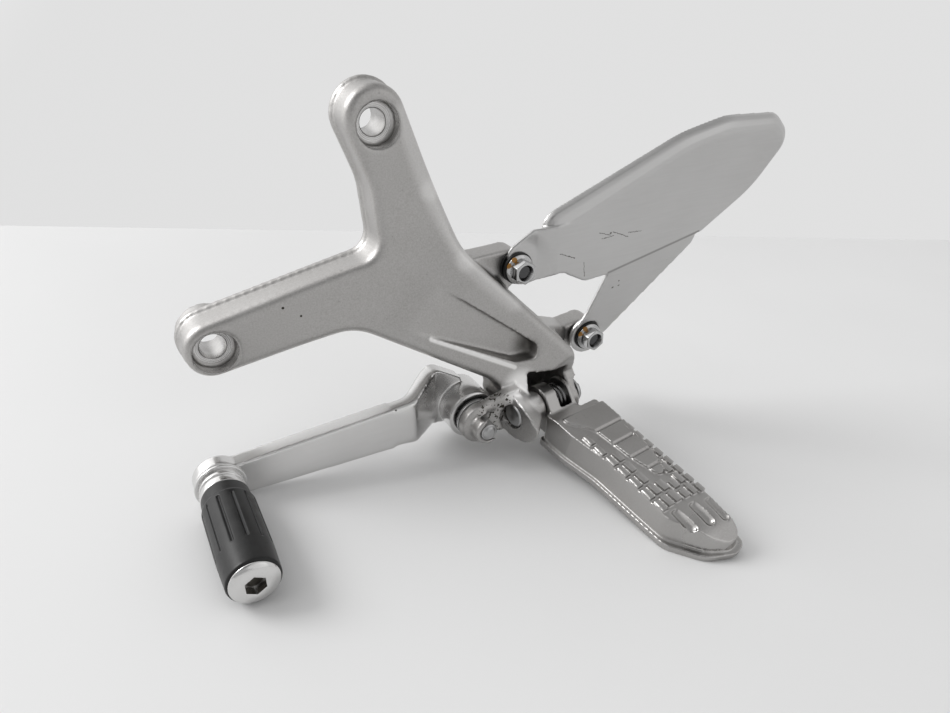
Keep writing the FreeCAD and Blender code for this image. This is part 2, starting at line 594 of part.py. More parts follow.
def gear_lever():
    """Forged lever: eye for the toe peg, blade, jog inboard and the pivot boss with its bearing seat."""
    y0 = BLADE_OUT_Y
    y1 = BLADE_OUT_Y + BLADE_T
    a1 = LEVER_BOSS_IN_Y
    a0 = a1 - ARM_T
    plan = [(-56, y0, 0), (37, y0, 5), (53, a0, 6), (LEVER_X, a0, 0), (LEVER_X, a1, 0), (50, a1, 5), (34, y1, 6), (-56, y1, 0)]
    strip = Part.Face(rounded(plan, lambda a, b: V(a, b, -110))).extrude(V(0, 0, 60))
    side = [(TOE_X, TOE_Z + 6.6, 0), (38, -73.6, 20), (55, -70.0, 6), (LEVER_X + 4, -80, 0), (LEVER_X + 4, -102, 0),
            (52, -98.5, 12), (30, -94.6, 40), (TOE_X, TOE_Z - 7.6, 0)]
    blade = strip.common(prism_y(side, -60, 0))
    eye = cyl_y(TOE_X, TOE_Z, TOE_EYE_R, y0, y1)
    eye = eye.makeChamfer(1.2, eye.Edges[:1] + eye.Edges[2:3])
    boss = cyl_y(LEVER_X, LEVER_Z, LEVER_BOSS_R, LEVER_BOSS_OUT_Y, LEVER_BOSS_IN_Y)
    boss = boss.makeChamfer(0.8, boss.Edges[:1] + boss.Edges[2:3])
    solid = blade.fuse(eye).fuse(boss)
    solid = solid.fuse(cyl_y(LINK_X, LINK_Z, LINK_R, y1 - 2, y1 + LINK_T))
    solid = solid.cut(cyl_y(LEVER_X, LEVER_Z, BUSH_R + FIT, -60, 0))
    solid = solid.cut(cyl_y(TOE_X, TOE_Z, TOE_SCREW_R + FIT, -60, 0))
    solid = solid.cut(cyl_y(LINK_X, LINK_Z, LINK_HOLE_R, y1 - 4, y1 + LINK_T + 1))
    return solid.removeSplitter()


def lever_bush():
    return ring_y(LEVER_X, LEVER_Z, BUSH_R, SHOULDER_R + RUN_GAP, LEVER_BOSS_OUT_Y + 0.2, LEVER_BOSS_IN_Y - 0.2)


def pivot_bolt():
    """Shoulder bolt: socket head inboard, ground shoulder in the bush, threaded end in the hanger's ear."""
    head_y = LEVER_BOSS_IN_Y + SIDE_GAP + WASHER_T + SIDE_GAP
    shoulder = cyl_y(LEVER_X, LEVER_Z, SHOULDER_R, LUG_IN_Y + FIT, head_y + 1)
    shank = cyl_y(LEVER_X, LEVER_Z, THREAD_R, LUG_OUT_Y - 1.2, LUG_IN_Y + 1)
    shank = shank.makeChamfer(0.8, [e for e in shank.Edges if abs(e.CenterOfMass.y - LUG_OUT_Y + 1.2) < 0.01])
    head = cyl_y(LEVER_X, LEVER_Z, PIVOT_HEAD_R, head_y, head_y + PIVOT_HEAD_T)
    head = head.makeChamfer(0.7, [e for e in head.Edges if abs(e.CenterOfMass.y - head_y - PIVOT_HEAD_T) < 0.01])
    return shoulder.fuse(shank).fuse(head).cut(hex_y(LEVER_X, LEVER_Z, 6.0, head_y + 2.5, head_y + PIVOT_HEAD_T + 1))


def hex_y(x, z, across, y0, y1):
    r = across / math.sqrt(3)
    pts = [V(x + r * math.cos(math.radians(60 * k)), y0, z + r * math.sin(math.radians(60 * k))) for k in range(7)]
    return Part.Face(Part.makePolygon(pts)).extrude(V(0, y1 - y0, 0))


def lever_washers():
    inner = ring_y(LEVER_X, LEVER_Z, LUG_R, SHOULDER_R + 0.1, LEVER_BOSS_IN_Y + SIDE_GAP, LEVER_BOSS_IN_Y + SIDE_GAP + WASHER_T)
    outer = ring_y(LEVER_X, LEVER_Z, LUG_R, SHOULDER_R + 0.1, LUG_IN_Y + FIT, LUG_IN_Y + FIT + WASHER_T)
    return inner, outer


def lever_seal():
    """Rubber ring with bevelled corners between the outer washer and the lever's boss."""
    y0 = LUG_IN_Y + 2 * FIT + WASHER_T
    y1 = LEVER_BOSS_OUT_Y - SIDE_GAP
    ring = ring_y(LEVER_X, LEVER_Z, SEAL_R, SEAL_BORE, y0, y1)
    return ring.makeChamfer(0.4, [e for e in ring.Edges if e.Length > 2 * math.pi * (SEAL_R - 0.1)])


def toe_washer():
    y = BLADE_OUT_Y - FIT
    return ring_y(TOE_X, TOE_Z, TOE_R, TOE_SCREW_R + 0.1, y, y - TOE_WASHER_T)


def revolve_y(profile, x, z):
    """Turned piece: profile of (radius, y) points with corner radii, turned round the axis at x, z."""
    wire = rounded(profile, lambda r, y: V(x + r, y, z))
    return Part.Face(wire).revolve(at(x, z), V(0, 1, 0), 360)


def toe_core():
    """Turned collar with two beads and the tube that carries the rubber."""
    y0 = BLADE_OUT_Y - 2 * FIT - TOE_WASHER_T
    y1 = y0 - TOE_COLLAR
    y2 = y1 - TOE_RUBBER
    bore = TOE_SCREW_R + 0.05
    bead = TOE_R - 1.2
    profile = [(bore, y0, 0), (bead, y0, 0), (bead, y0 - 2.6, 0.8), (bead - 1, y0 - 3, 0), (bead - 1, y0 - 3.6, 0),
               (bead + 0.2, y0 - 4.2, 0.8), (bead + 0.2, y1, 0), (TOE_CORE_R, y1, 0), (TOE_CORE_R, y2, 0), (bore, y2, 0)]
    return revolve_y(profile, TOE_X, TOE_Z)


def toe_rubber():
    """Sleeve with a narrower neck, a slight taper to the end and grooves along it."""
    y1 = BLADE_OUT_Y - 3 * FIT - TOE_WASHER_T - TOE_COLLAR
    y2 = y1 - TOE_RUBBER + 2 * FIT
    bore = TOE_CORE_R + FIT
    neck = TOE_R - 0.9
    profile = [(bore, y1, 0), (neck, y1, 0), (neck + 0.2, y1 - 6.2, 0), (TOE_R, y1 - 7.0, 0), (TOE_R, y1 - 34, 0),
               (TOE_R - 0.5, y2, 1.0), (bore, y2, 0)]
    solid = revolve_y(profile, TOE_X, TOE_Z)
    for k in range(TOE_GROOVES):
        bar = Part.makeBox(1.0, 26, 2, V(-0.5, -26, TOE_R - 0.7))
        bar.translate(V(0, y1 - 8.5, 0))
        bar.rotate(V(0, 0, 0), V(0, 1, 0), 360.0 * k / TOE_GROOVES + 12)
        bar.translate(at(TOE_X, TOE_Z))
        solid = solid.cut(bar)
    return solid


def toe_screw():
    """Long screw with a wide domed head that closes the rubber, threaded into the lever."""
    y2 = BLADE_OUT_Y - 3 * FIT - TOE_WASHER_T - TOE_COLLAR - TOE_RUBBER
    head = revolve_y([(0, y2, 0), (TOE_CAP_R, y2, 0), (TOE_CAP_R, y2 - 0.6, 0.4), (TOE_CAP_R - 2.4, y2 - 1.9, 3), (0, y2 - 2.2, 0)],
                     TOE_X, TOE_Z)
    shank = cyl_y(TOE_X, TOE_Z, TOE_SCREW_R, y2 - 1, BLADE_OUT_Y + BLADE_T - 0.6)
    return head.fuse(shank).cut(hex_y(TOE_X, TOE_Z, TOE_KEY, y2 - 5, y2 - 0.2 + TOE_KEY_DEPTH))


def guard_bolt(x, z, y):
    """Flange bolt with a dished hexagon head; y is the outer face of its sleeve."""
    shank = cyl_y(x, z, GUARD_BOLT_R, y - 1, y + SHEET + 2 * GROMMET_LIP + 11)
    flange = revolve_y([(0, y, 0), (7.0, y, 0), (7.0, y - 0.9, 0), (5.4, y - 1.6, 0), (0, y - 1.6, 0)], x, z)
    head = hex_y(x, z, 10.0, y - 1, y - 6.4)
    head = head.common(revolve_y([(0, y, 0), (5.6, y, 0), (5.6, y - 5.6, 0), (4.9, y - 6.4, 0), (0, y - 6.4, 0)], x, z))
    dish = revolve_y([(0, y - 4.6, 0), (3.0, y - 4.6, 0), (3.9, y - 7, 0), (0, y - 7, 0)], x, z)
    return shank.fuse(flange).fuse(head.cut(dish))


def guard_fixings():
    bolts, sleeves, grommets = [], [], []
    for x, z, face in ((BOLT1_X, BOLT1_Z, TAB_Y), (BOLT2_X, BOLT2_Z, LEG_Y)):
        y0 = face - GROMMET_LIP - FIT
        y1 = face + SHEET + GROMMET_LIP
        bolts.append(guard_bolt(x, z, y0 - FIT))
        sleeves.append(ring_y(x, z, SLEEVE_R, GUARD_BOLT_R + FIT, y0, y1))
        b = SLEEVE_R + FIT
        profile = [(b, y0 + FIT, 0), (GROMMET_R - 0.4, y0 + FIT, 0), (GROMMET_R, y0 + FIT + 0.4, 0), (GROMMET_R, face - FIT, 0),
                   (GROMMET_NECK_R, face - FIT, 0),
                   (GROMMET_NECK_R, face + SHEET + FIT, 0), (GROMMET_R, face + SHEET + FIT, 0),
                   (GROMMET_R, y1 - 0.4, 0), (GROMMET_R - 0.4, y1, 0), (b, y1, 0)]
        grommets.append(revolve_y(profile, x, z))
    return Part.makeCompound(bolts), Part.makeCompound(sleeves), Part.makeCompound(grommets)


def main():
    os.makedirs("parts", exist_ok=True)
    bolts, sleeves, grommets = guard_fixings()
    inner, outer = lever_washers()
    nodes = {
        "hanger_casting": hanger_casting(),
        "heel_guard": heel_guard(),
        "guard_bolts": bolts,
        "guard_sleeves": sleeves,
        "guard_grommets": grommets,
        "peg_pivot_pin": peg_pin(),
        "peg_pin_washer": pin_washer(),
        "peg_pin_clip": pin_clip(),
        "peg_return_spring": peg_spring(),
        "lever_pivot_bolt": pivot_bolt(),
        "lever_inner_washer": inner,
        "lever_outer_washer": outer,
        "lever_seal_ring": lever_seal(),
        "footpeg": footpeg(),
        "gear_lever": gear_lever(),
        "lever_bush": lever_bush(),
        "toe_peg_washer": toe_washer(),
        "toe_peg_core": toe_core(),
        "toe_peg_rubber": toe_rubber(),
        "toe_peg_screw": toe_screw(),
    }
    for name, shape in nodes.items():
        box = shape.optimalBoundingBox(True, False)
        print(name, shape.isValid(), len(shape.Solids), round(shape.Volume), "x %.1f %.1f y %.1f %.1f z %.1f %.1f" % (
            box.XMin, box.XMax, box.YMin, box.YMax, box.ZMin, box.ZMax))
        shape.exportStep("parts/%s.step" % name)


main()
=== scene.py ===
# %% [markdown]
# # A motorcycle footrest hanger, dressed for its portrait
# The solids come from the part's own source. This lesson softens the castings as a foundry would leave them,
# turns the small hardware on a lathe, and gives every surface the finish that the real metal and rubber have.

# %% Load the frame
import json
import math

import bmesh
import bpy
import numpy as np
from mathutils import Matrix, Vector


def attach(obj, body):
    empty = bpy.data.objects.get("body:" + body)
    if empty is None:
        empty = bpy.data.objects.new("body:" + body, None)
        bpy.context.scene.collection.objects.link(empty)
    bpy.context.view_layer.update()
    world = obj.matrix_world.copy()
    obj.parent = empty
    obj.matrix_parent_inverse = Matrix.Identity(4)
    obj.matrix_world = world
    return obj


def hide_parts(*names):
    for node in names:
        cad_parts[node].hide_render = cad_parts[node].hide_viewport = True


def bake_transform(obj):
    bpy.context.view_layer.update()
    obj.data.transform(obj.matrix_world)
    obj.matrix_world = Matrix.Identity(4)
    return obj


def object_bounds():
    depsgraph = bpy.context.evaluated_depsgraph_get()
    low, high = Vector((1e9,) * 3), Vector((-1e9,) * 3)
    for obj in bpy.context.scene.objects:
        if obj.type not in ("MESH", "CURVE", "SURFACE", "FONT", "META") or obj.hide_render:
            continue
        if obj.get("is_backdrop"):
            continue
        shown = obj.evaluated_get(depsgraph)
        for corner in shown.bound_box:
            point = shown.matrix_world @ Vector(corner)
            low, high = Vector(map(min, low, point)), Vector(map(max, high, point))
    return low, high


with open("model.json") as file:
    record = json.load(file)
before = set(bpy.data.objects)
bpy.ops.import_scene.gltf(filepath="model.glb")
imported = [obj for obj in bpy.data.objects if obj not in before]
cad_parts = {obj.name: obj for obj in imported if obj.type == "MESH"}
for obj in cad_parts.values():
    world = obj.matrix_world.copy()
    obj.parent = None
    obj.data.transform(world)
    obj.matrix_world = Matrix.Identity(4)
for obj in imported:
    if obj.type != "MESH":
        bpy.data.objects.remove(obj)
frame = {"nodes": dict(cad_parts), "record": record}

MM = 0.001
cad_low, cad_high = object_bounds()

# %% [markdown]
# ## Camera
# The portrait is taken with a moderately wide lens from the front left and a little above. A camera is fully given
# by a place, a right-hand direction, an up direction and a focal length, so these are written down once and turned
# into a rotation matrix. The camera looks along its own minus Z.

# %% The portrait's camera
CAMERA_PLACE = Vector((-63.03, -287.31, 101.21)) * MM
CAMERA_RIGHT = Vector((0.8805, -0.4740, 0.0))
CAMERA_UP = Vector((0.2388, 0.4436, 0.8638))
CAMERA_AHEAD = CAMERA_UP.cross(CAMERA_RIGHT)
FOCAL_PIXELS = 714.0
PICTURE = (950, 713)

camera = bpy.data.objects.new("camera", bpy.data.cameras.new("camera"))
bpy.context.collection.objects.link(camera)
camera.data.sensor_width = 36.0
camera.data.lens = camera.data.sensor_width * FOCAL_PIXELS / PICTURE[0]
camera.data.clip_start = 0.005
turn = Matrix((CAMERA_RIGHT, CAMERA_UP, -CAMERA_AHEAD)).transposed().to_4x4()
camera.matrix_world = Matrix.Translation(CAMERA_PLACE) @ turn
bpy.context.scene.camera = camera
print("camera", [round(v, 3) for v in CAMERA_PLACE], "lens", round(camera.data.lens, 2))

# %% [markdown]
# ## A small language for shaders
# Node trees are easier to read as sums. This class holds one socket, and its operators add Math nodes, so that
# `1 - mask` or `grain * 0.2` can be written down as they are meant. Every other kind of node comes from `node`.


# %% Socket arithmetic
class Signal:
    """One output socket in a node tree, with arithmetic."""

    def __init__(self, tree, socket=None):
        self.tree = tree
        self.socket = socket

    def node(self, kind, sockets=None, out=0, stops=None, **settings):
        made = self.tree.nodes.new(kind)
        for key, value in settings.items():
            setattr(made, key, value)
        if stops:
            ramp = made.color_ramp
            while len(ramp.elements) < len(stops):
                ramp.elements.new(0.5)
            for element, (place, colour) in zip(ramp.elements, stops):
                element.position = place
                element.color = colour
        for key, value in (sockets or {}).items():
            if isinstance(value, Signal):
                self.tree.links.new(value.socket, made.inputs[key])
            else:
                made.inputs[key].default_value = value
        return Signal(self.tree, made.outputs[out])

    def math(self, operation, a, b=0.0):
        return self.node("ShaderNodeMath", {0: a, 1: b}, operation=operation)

    def __add__(self, other):
        return self.math("ADD", self, other)

    __radd__ = __add__

    def __mul__(self, other):
        return self.math("MULTIPLY", self, other)

    __rmul__ = __mul__

    def __sub__(self, other):
        return self.math("SUBTRACT", self, other)

    def __rsub__(self, other):
        return self.math("SUBTRACT", other, self)

    def step(self, low, high):
        """0 below low, 1 above high, smooth between."""
        return self.node("ShaderNodeMapRange", {"Value": self, "From Min": low, "From Max": high},
                         interpolation_type="SMOOTHSTEP")

    def limit(self, low, high):
        return self.math("MINIMUM", self.math("MAXIMUM", self, low), high)

    def mix(self, low, high):
        """Colour low where this is 0 and high where it is 1."""
        return self.node("ShaderNodeMix", {0: self, 6: low, 7: high}, out=2, data_type="RGBA")

    def vector(self, operation, a, b=(0, 0, 0), out=0):
        return self.node("ShaderNodeVectorMath", {0: a, 1: b}, out=out, operation=operation)


def rgb(value, warm=0.0):
    return (value * (1 + warm), value, value * (1 - warm), 1.0)


print("signals ready")

# %% [markdown]
# ## Starting a finish
# All finishes share the same skeleton: a Principled shader, the object's own coordinates in metres, and a bump.
# Object coordinates stay with the piece, so the grain doesn't swim when a lever turns. Single marks, such as a pit
# or a scratch, are distances to a point or to a short line, and lines can be kept to the outer face.


# %% Finish skeleton
OUTWARD = (0, -1, 0)


def finish(name, **constants):
    material = bpy.data.materials.new(name)
    material.use_nodes = True
    tree = material.node_tree
    shader = tree.nodes["Principled BSDF"]
    for key, value in constants.items():
        shader.inputs[key.replace("_", " ")].default_value = value
    place = Signal(tree).node("ShaderNodeTexCoord", out=3)
    return material, shader, place


def noise(place, scale, detail=3.0, rough=0.55):
    return place.node("ShaderNodeTexNoise", {"Vector": place, "Scale": scale, "Detail": detail, "Roughness": rough})


def wire(signal, shader, name):
    signal.tree.links.new(signal.socket, shader.inputs[name])


def bump(shader, height, strength, distance):
    normal = height.node("ShaderNodeBump", {"Height": height, "Strength": strength, "Distance": distance})
    wire(normal, shader, "Normal")


def ramp(value, *stops):
    return value.node("ShaderNodeValToRGB", {0: value}, stops=stops)


def spot(place, centre, radius, soft=0.6):
    """1 at a point in the piece's own frame (mm), fading to 0 at the radius."""
    away = place.vector("DISTANCE", place, tuple(c * MM for c in centre), out=1)
    return 1 - away.step(radius * MM * soft, radius * MM)


def scratch(place, start, end, width):
    """1 along a short line across the X-Z plane (mm), whatever the depth."""
    flat = place.vector("MULTIPLY", place, (1, 0, 1))
    first = Vector((start[0], 0, start[1])) * MM
    way = Vector((end[0], 0, end[1])) * MM - first
    from_first = flat.vector("SUBTRACT", flat, tuple(first))
    share = flat.vector("DOT_PRODUCT", from_first, tuple(way / way.length_squared), out=1).limit(0.0, 1.0)
    nearest = share.node("ShaderNodeVectorMath", {0: tuple(way), "Scale": share}, operation="SCALE")
    away = flat.vector("DISTANCE", from_first, nearest, out=1)
    return 1 - away.step(width * MM * 0.3, width * MM)


def outer_face(place):
    """1 where the piece faces outward (minus Y), 0 at its sides and back."""
    facing = place.node("ShaderNodeTexCoord", out=1)
    return facing.vector("DOT_PRODUCT", facing, OUTWARD, out=1).step(0.2, 0.6)


def hollow_of(place):
    """The mesh's own measure of grooves (above 0) and edges (below 0)."""
    return place.node("ShaderNodeAttribute", out=2, attribute_name="hollow")


print("finish skeleton ready")

# %% [markdown]
# ## Cast aluminium
# A casting has a dull, slightly warm skin with a fine grain of lighter and darker specks, faint clouds where hands
# and dirt have been, and a few dark pits. Grooves are darkened with a brown film that is partly dirt and partly
# painted shade, and edges are lightened partly by wear and partly as painted highlight. The grain is a fine noise
# in colour and bump; the film and the edge lightening follow the `hollow` measure that each mesh carries. Single
# places are listed: painted shade in deep corners, a painted highlight on a facet, and painted highlight lines
# along the ridges of the arm and the lip of the scoop.

# %% Cast aluminium
# Dark colour for dirt, pits and painted shade.
DIRT_AND_SHADE_TONE = (0.035, 0.030, 0.022, 1.0)
# Light colour for painted highlights.
PAINTED_HIGHLIGHT_TONE = rgb(0.95, 0.01)


def cast_finish(name, tone, roughness, grain=1.0, pits=(), specks=(), painted_shade_spots=(), polish=(), painted_highlight_spots=(), painted_highlight_lines=()):
    material, shader, place = finish(name, Metallic=1.0)
    fine = noise(place, 1500.0, 2.0)
    cloud = noise(place, 45.0, 4.0)
    hollow = hollow_of(place)
    # Painted shade mixed with dirt in grooves; painted highlight mixed with wear on edges.
    groove_dirt_and_shade = hollow.step(0.03, 0.22) * 0.55 * (noise(place, 120.0, 3.0) + 0.5)
    edge_wear_and_highlight = (0 - hollow).step(0.05, 0.25)
    value = (cloud - 0.5) * 0.20 + (fine - 0.5) * 0.50 * grain + edge_wear_and_highlight * 0.16 + 0.5
    colour = ramp(value, (0.28, rgb(tone * 0.76, 0.035)), (0.50, rgb(tone, 0.022)), (0.74, rgb(tone * 1.22, 0.012)))
    dirt_and_shade = noise(place, 260.0, 2.0).step(0.69, 0.78) * 0.22 + groove_dirt_and_shade
    outer = outer_face(place)
    # Painted highlight lines, kept to the outer face.
    for start, end, width, amount in painted_highlight_lines:
        colour = (scratch(place, start, end, width) * outer * amount).mix(colour, PAINTED_HIGHLIGHT_TONE)
    # Painted highlight spots.
    for centre, radius, amount in painted_highlight_spots:
        colour = (spot(place, centre, radius, 0.5) * amount).mix(colour, PAINTED_HIGHLIGHT_TONE)
    for centre, radius, amount in pits:
        holes = noise(place, 520.0, 1.0).step(0.58, 0.63) + noise(place, 1100.0, 1.0).step(0.66, 0.70)
        dirt_and_shade = dirt_and_shade + spot(place, centre, radius, 0.75) * holes * amount
    for centre, radius in specks:
        dirt_and_shade = dirt_and_shade + spot(place, centre, radius)
    # Painted shade spots in deep corners.
    for centre, radius, amount in painted_shade_spots:
        dirt_and_shade = dirt_and_shade + spot(place, centre, radius, 0.05) * amount
    dirt_and_shade = dirt_and_shade.limit(0.0, 0.95)
    gloss = roughness + (cloud - 0.5) * 0.16 + (fine - 0.5) * 0.10 - edge_wear_and_highlight * 0.10 + dirt_and_shade * 0.15
    for centre, radius in polish:
        gloss = gloss - spot(place, centre, radius, 0.7) * 0.16
    wire(dirt_and_shade.mix(colour, DIRT_AND_SHADE_TONE), shader, "Base Color")
    wire(gloss.limit(0.10, 0.8), shader, "Roughness")
    bump(shader, fine * 0.6 + noise(place, 520.0, 2.0) * 0.6 - dirt_and_shade * 1.4, 0.26 * grain, 0.0002)
    return material


PITTED_CHEEK = ((75.0, -53.0, -89.0), 13.0, 0.95)
# Painted shade at the scoop's deep end and round the pin's seat.
SCOOP_END_SHADE = ((97.0, -41.0, -62.5), 10.0, 0.75)
PIN_SEAT_SHADE = ((83.5, -53.0, -90.9), 8.5, 0.85)
# A painted highlight on the facet.
FACET_HIGHLIGHT = ((88.5, -55.0, -77.5), 12.0, 1.0)
# Painted highlight lines along the arm's ridge and along the scoop's lower lip.
ARM_RIDGE_HIGHLIGHT = [(47.7, 43.4), (57.6, 12.1), (70.1, -18.9), (89.3, -39.1)]
SCOOP_LIP_HIGHLIGHT = ((51.2, -51.5), (87.2, -69.5), 1.6, 0.8)
SPECKS = [((-8.9, -24.0, -26.5), 0.7), ((-2.1, -24.0, -31.7), 0.6)]
painted_highlight_lines = [(start, end, 6.5, 0.24) for start, end in zip(ARM_RIDGE_HIGHLIGHT, ARM_RIDGE_HIGHLIGHT[1:])] + [SCOOP_LIP_HIGHLIGHT]
casting = cast_finish("cast_aluminium", 0.43, 0.40, pits=[PITTED_CHEEK], specks=SPECKS, painted_shade_spots=[SCOOP_END_SHADE, PIN_SEAT_SHADE],
                      painted_highlight_spots=[FACET_HIGHLIGHT], painted_highlight_lines=painted_highlight_lines)
PEG_NOSE = ((126.0, -147.0, -110.0), 17.0)
peg_metal = cast_finish("peg_aluminium", 0.43, 0.33, grain=0.35, polish=[PEG_NOSE])
print("finishes", casting.name, peg_metal.name)

# %% [markdown]
# ## Satin sheet
# The heel guard is pressed from sheet that was ground in one direction. A noise stretched along the grinding
# direction gives the streaks. A boot has left scratches near the tab, a fine crack runs in from the lower edge, and
# the leg has a few pits. Each mark is a short line or a point, so its place is easy to read and to move. A soft dark
# line along the bend between the blade and the leg is painted shade, grooves are darkened partly as dirt and partly
# as painted shade, and edges are lightened partly by wear and partly as painted highlight. The tab round the first
# bolt is pressed a little deeper than the blade, and a broad bump deepens the step between them.

# %% Satin sheet
SCRATCHES = [((120.1, -25.6), (128.9, -29.3)), ((142.5, -19.2), (149.0, -21.5)), ((150.5, -20.0), (160.0, -24.2)),
             ((160.0, -22.0), (168.0, -22.6)), ((144.0, -22.5), (151.0, -22.0)), ((134.4, -32.5), (135.3, -40.0))]
# A painted shade line along the bend between the blade and the leg.
CREASE_SHADE = ((150.0, -41.2), (207.0, -29.6))
TAB_STEP = ((98.8, -29.0, -29.3), 19.0)
GRIND_TURN, GRIND_STRETCH = (0, math.radians(20), 0), (0.06, 1, 1)
SHAKE = 0.0012
PITS = [(158.4, -47.8), (158.8, -50.6), (155.0, -50.9), (149.2, -20.4)]


def sheet_finish():
    material, shader, place = finish("sheet_aluminium", Metallic=1.0)
    long = place.node("ShaderNodeMapping", {"Vector": place, "Rotation": GRIND_TURN, "Scale": GRIND_STRETCH})
    streak = noise(long, 900.0, 3.0)
    cloud = noise(place, 30.0, 3.0)
    hollow = hollow_of(place)
    # Edges are lightened, partly as wear and partly as painted highlight.
    edge_wear_and_highlight = (0 - hollow).step(0.04, 0.2)
    value = 0.5 + (streak - 0.5) * 0.16 + (cloud - 0.5) * 0.16 + edge_wear_and_highlight * 0.10
    colour = ramp(value, (0.30, rgb(0.45, 0.012)), (0.52, rgb(0.54, 0.008)), (0.74, rgb(0.63, 0.004)))
    across, up = noise(place, 700.0, 2.0) * SHAKE, noise(place, 900.0, 2.0) * SHAKE
    shaken = place.vector("ADD", place, place.node("ShaderNodeCombineXYZ", {0: across, 2: up}))
    shaken = shaken.vector("SUBTRACT", shaken, (SHAKE / 2, 0, SHAKE / 2))
    marks = scratch(shaken, *SCRATCHES[0], 0.30) * 0.8
    for start, end in SCRATCHES[1:]:
        marks = marks + scratch(shaken, start, end, 0.28) * 0.7
    for x, z in PITS:
        marks = marks + scratch(shaken, (x - 0.2, z), (x + 0.2, z), 0.6) * 0.8
    outer = outer_face(place)
    # The painted shade line along the bend joins the marks here.
    marks = (marks + scratch(place, *CREASE_SHADE, 0.9) * 0.45) * outer
    # Grooves are darkened, partly as dirt and partly as painted shade.
    marks = (marks + hollow.step(0.05, 0.25) * 0.35).limit(0.0, 0.9)
    wire(marks.mix(colour, DIRT_AND_SHADE_TONE), shader, "Base Color")
    wire(0.33 + (streak - 0.5) * 0.16 + (cloud - 0.5) * 0.10 - edge_wear_and_highlight * 0.06, shader, "Roughness")
    dished = spot(place, *TAB_STEP, soft=0.6) * outer
    bump(shader, (streak * 0.5 - marks) * 0.012 - dished * 1.5, 1.0, 0.001)
    return material


sheet = sheet_finish()
print("finish", sheet.name, "marks", len(SCRATCHES) + len(PITS))

# %% [markdown]
# ## Polished aluminium
# The gear lever and the toe peg's collar are polished. Polish is never perfect: fine scratches run along the blade
# and the gloss is dulled by handling. The base colour stays bright, and the roughness carries the wear. Grooves are
# darkened partly as dirt and partly as painted shade. Where the lever jogs inboard its top face has a handful of
# black pits and its outer face is darkened with painted shade. The screw's hexagon socket is darkened with painted
# shade too.

# %% Polished aluminium
def polished_finish(name, roughness, direction=(0.05, 1, 1), pits=(), painted_shade_spots=()):
    material, shader, place = finish(name, Metallic=1.0)
    along = place.node("ShaderNodeMapping", {"Vector": place, "Scale": direction})
    lines = noise(along, 1400.0, 2.0)
    cloud = noise(place, 60.0, 4.0)
    hollow = hollow_of(place)
    # Grooves are darkened, partly as dirt and partly as painted shade.
    dirt_and_shade = noise(place, 380.0, 2.0).step(0.72, 0.80) * 0.15 + hollow.step(0.03, 0.2) * 0.5
    for centre, radius in pits:
        dirt_and_shade = dirt_and_shade + spot(place, centre, radius)
    # Painted shade spots.
    for centre, radius, amount in painted_shade_spots:
        dirt_and_shade = dirt_and_shade + spot(place, centre, radius, 0.2) * amount
    dirt_and_shade = dirt_and_shade.limit(0.0, 0.95)
    value = 0.5 + (cloud - 0.5) * 0.16 + (lines - 0.5) * 0.14
    colour = ramp(value, (0.32, rgb(0.56, 0.012)), (0.52, rgb(0.68, 0.008)), (0.70, rgb(0.78, 0.004)))
    wire(dirt_and_shade.mix(colour, DIRT_AND_SHADE_TONE), shader, "Base Color")
    wire((roughness + (lines - 0.5) * 0.14 + (cloud - 0.5) * 0.12 + dirt_and_shade * 0.3).limit(0.06, 0.8), shader, "Roughness")
    bump(shader, lines - dirt_and_shade * 1.2, 0.05, 0.0001)
    return material


JOG_PITS = [((40.0, -45.6, -73.2), 0.8), ((43.5, -43.0, -72.4), 0.7), ((46.0, -44.0, -72.0), 0.6),
            ((48.5, -39.5, -71.4), 0.8), ((36.0, -46.0, -73.9), 0.6), ((51.0, -37.0, -70.9), 0.7),
            ((53.5, -34.0, -70.6), 0.9), ((28.0, -45.9, -75.0), 0.5)]
# Painted shade on the outer face of the lever's jog.
JOG_FACE_SHADE = ((54.0, -41.0, -79.0), 13.0, 0.55)
lever_metal = polished_finish("polished_aluminium", 0.22, pits=JOG_PITS, painted_shade_spots=[JOG_FACE_SHADE])
turned_metal = polished_finish("turned_aluminium", 0.16, direction=(1, 0.3, 1))
# Painted shade inside the toe peg screw's hexagon socket, passed in as a pit.
SOCKET_SHADE = ((-48.0, -100.6, -85.8), 4.6)
screw_metal = polished_finish("screw_steel", 0.16, direction=(1, 0.3, 1), pits=[SOCKET_SHADE])
print("finishes", lever_metal.name, turned_metal.name, screw_metal.name)

# %% [markdown]
# ## Steel, bronze and rubber
# Plated steel is greyer and sharper than aluminium. The guard bolts carry dabs of an inspector's amber paint, and
# the hollows of their dished heads are darkened with painted shade. The bearing bush is sintered bronze. Moulded
# rubber is nearly black, with a soft sheen and a little dust.

# %% Steel, bronze and rubber
AMBER = (0.33, 0.15, 0.02, 1.0)


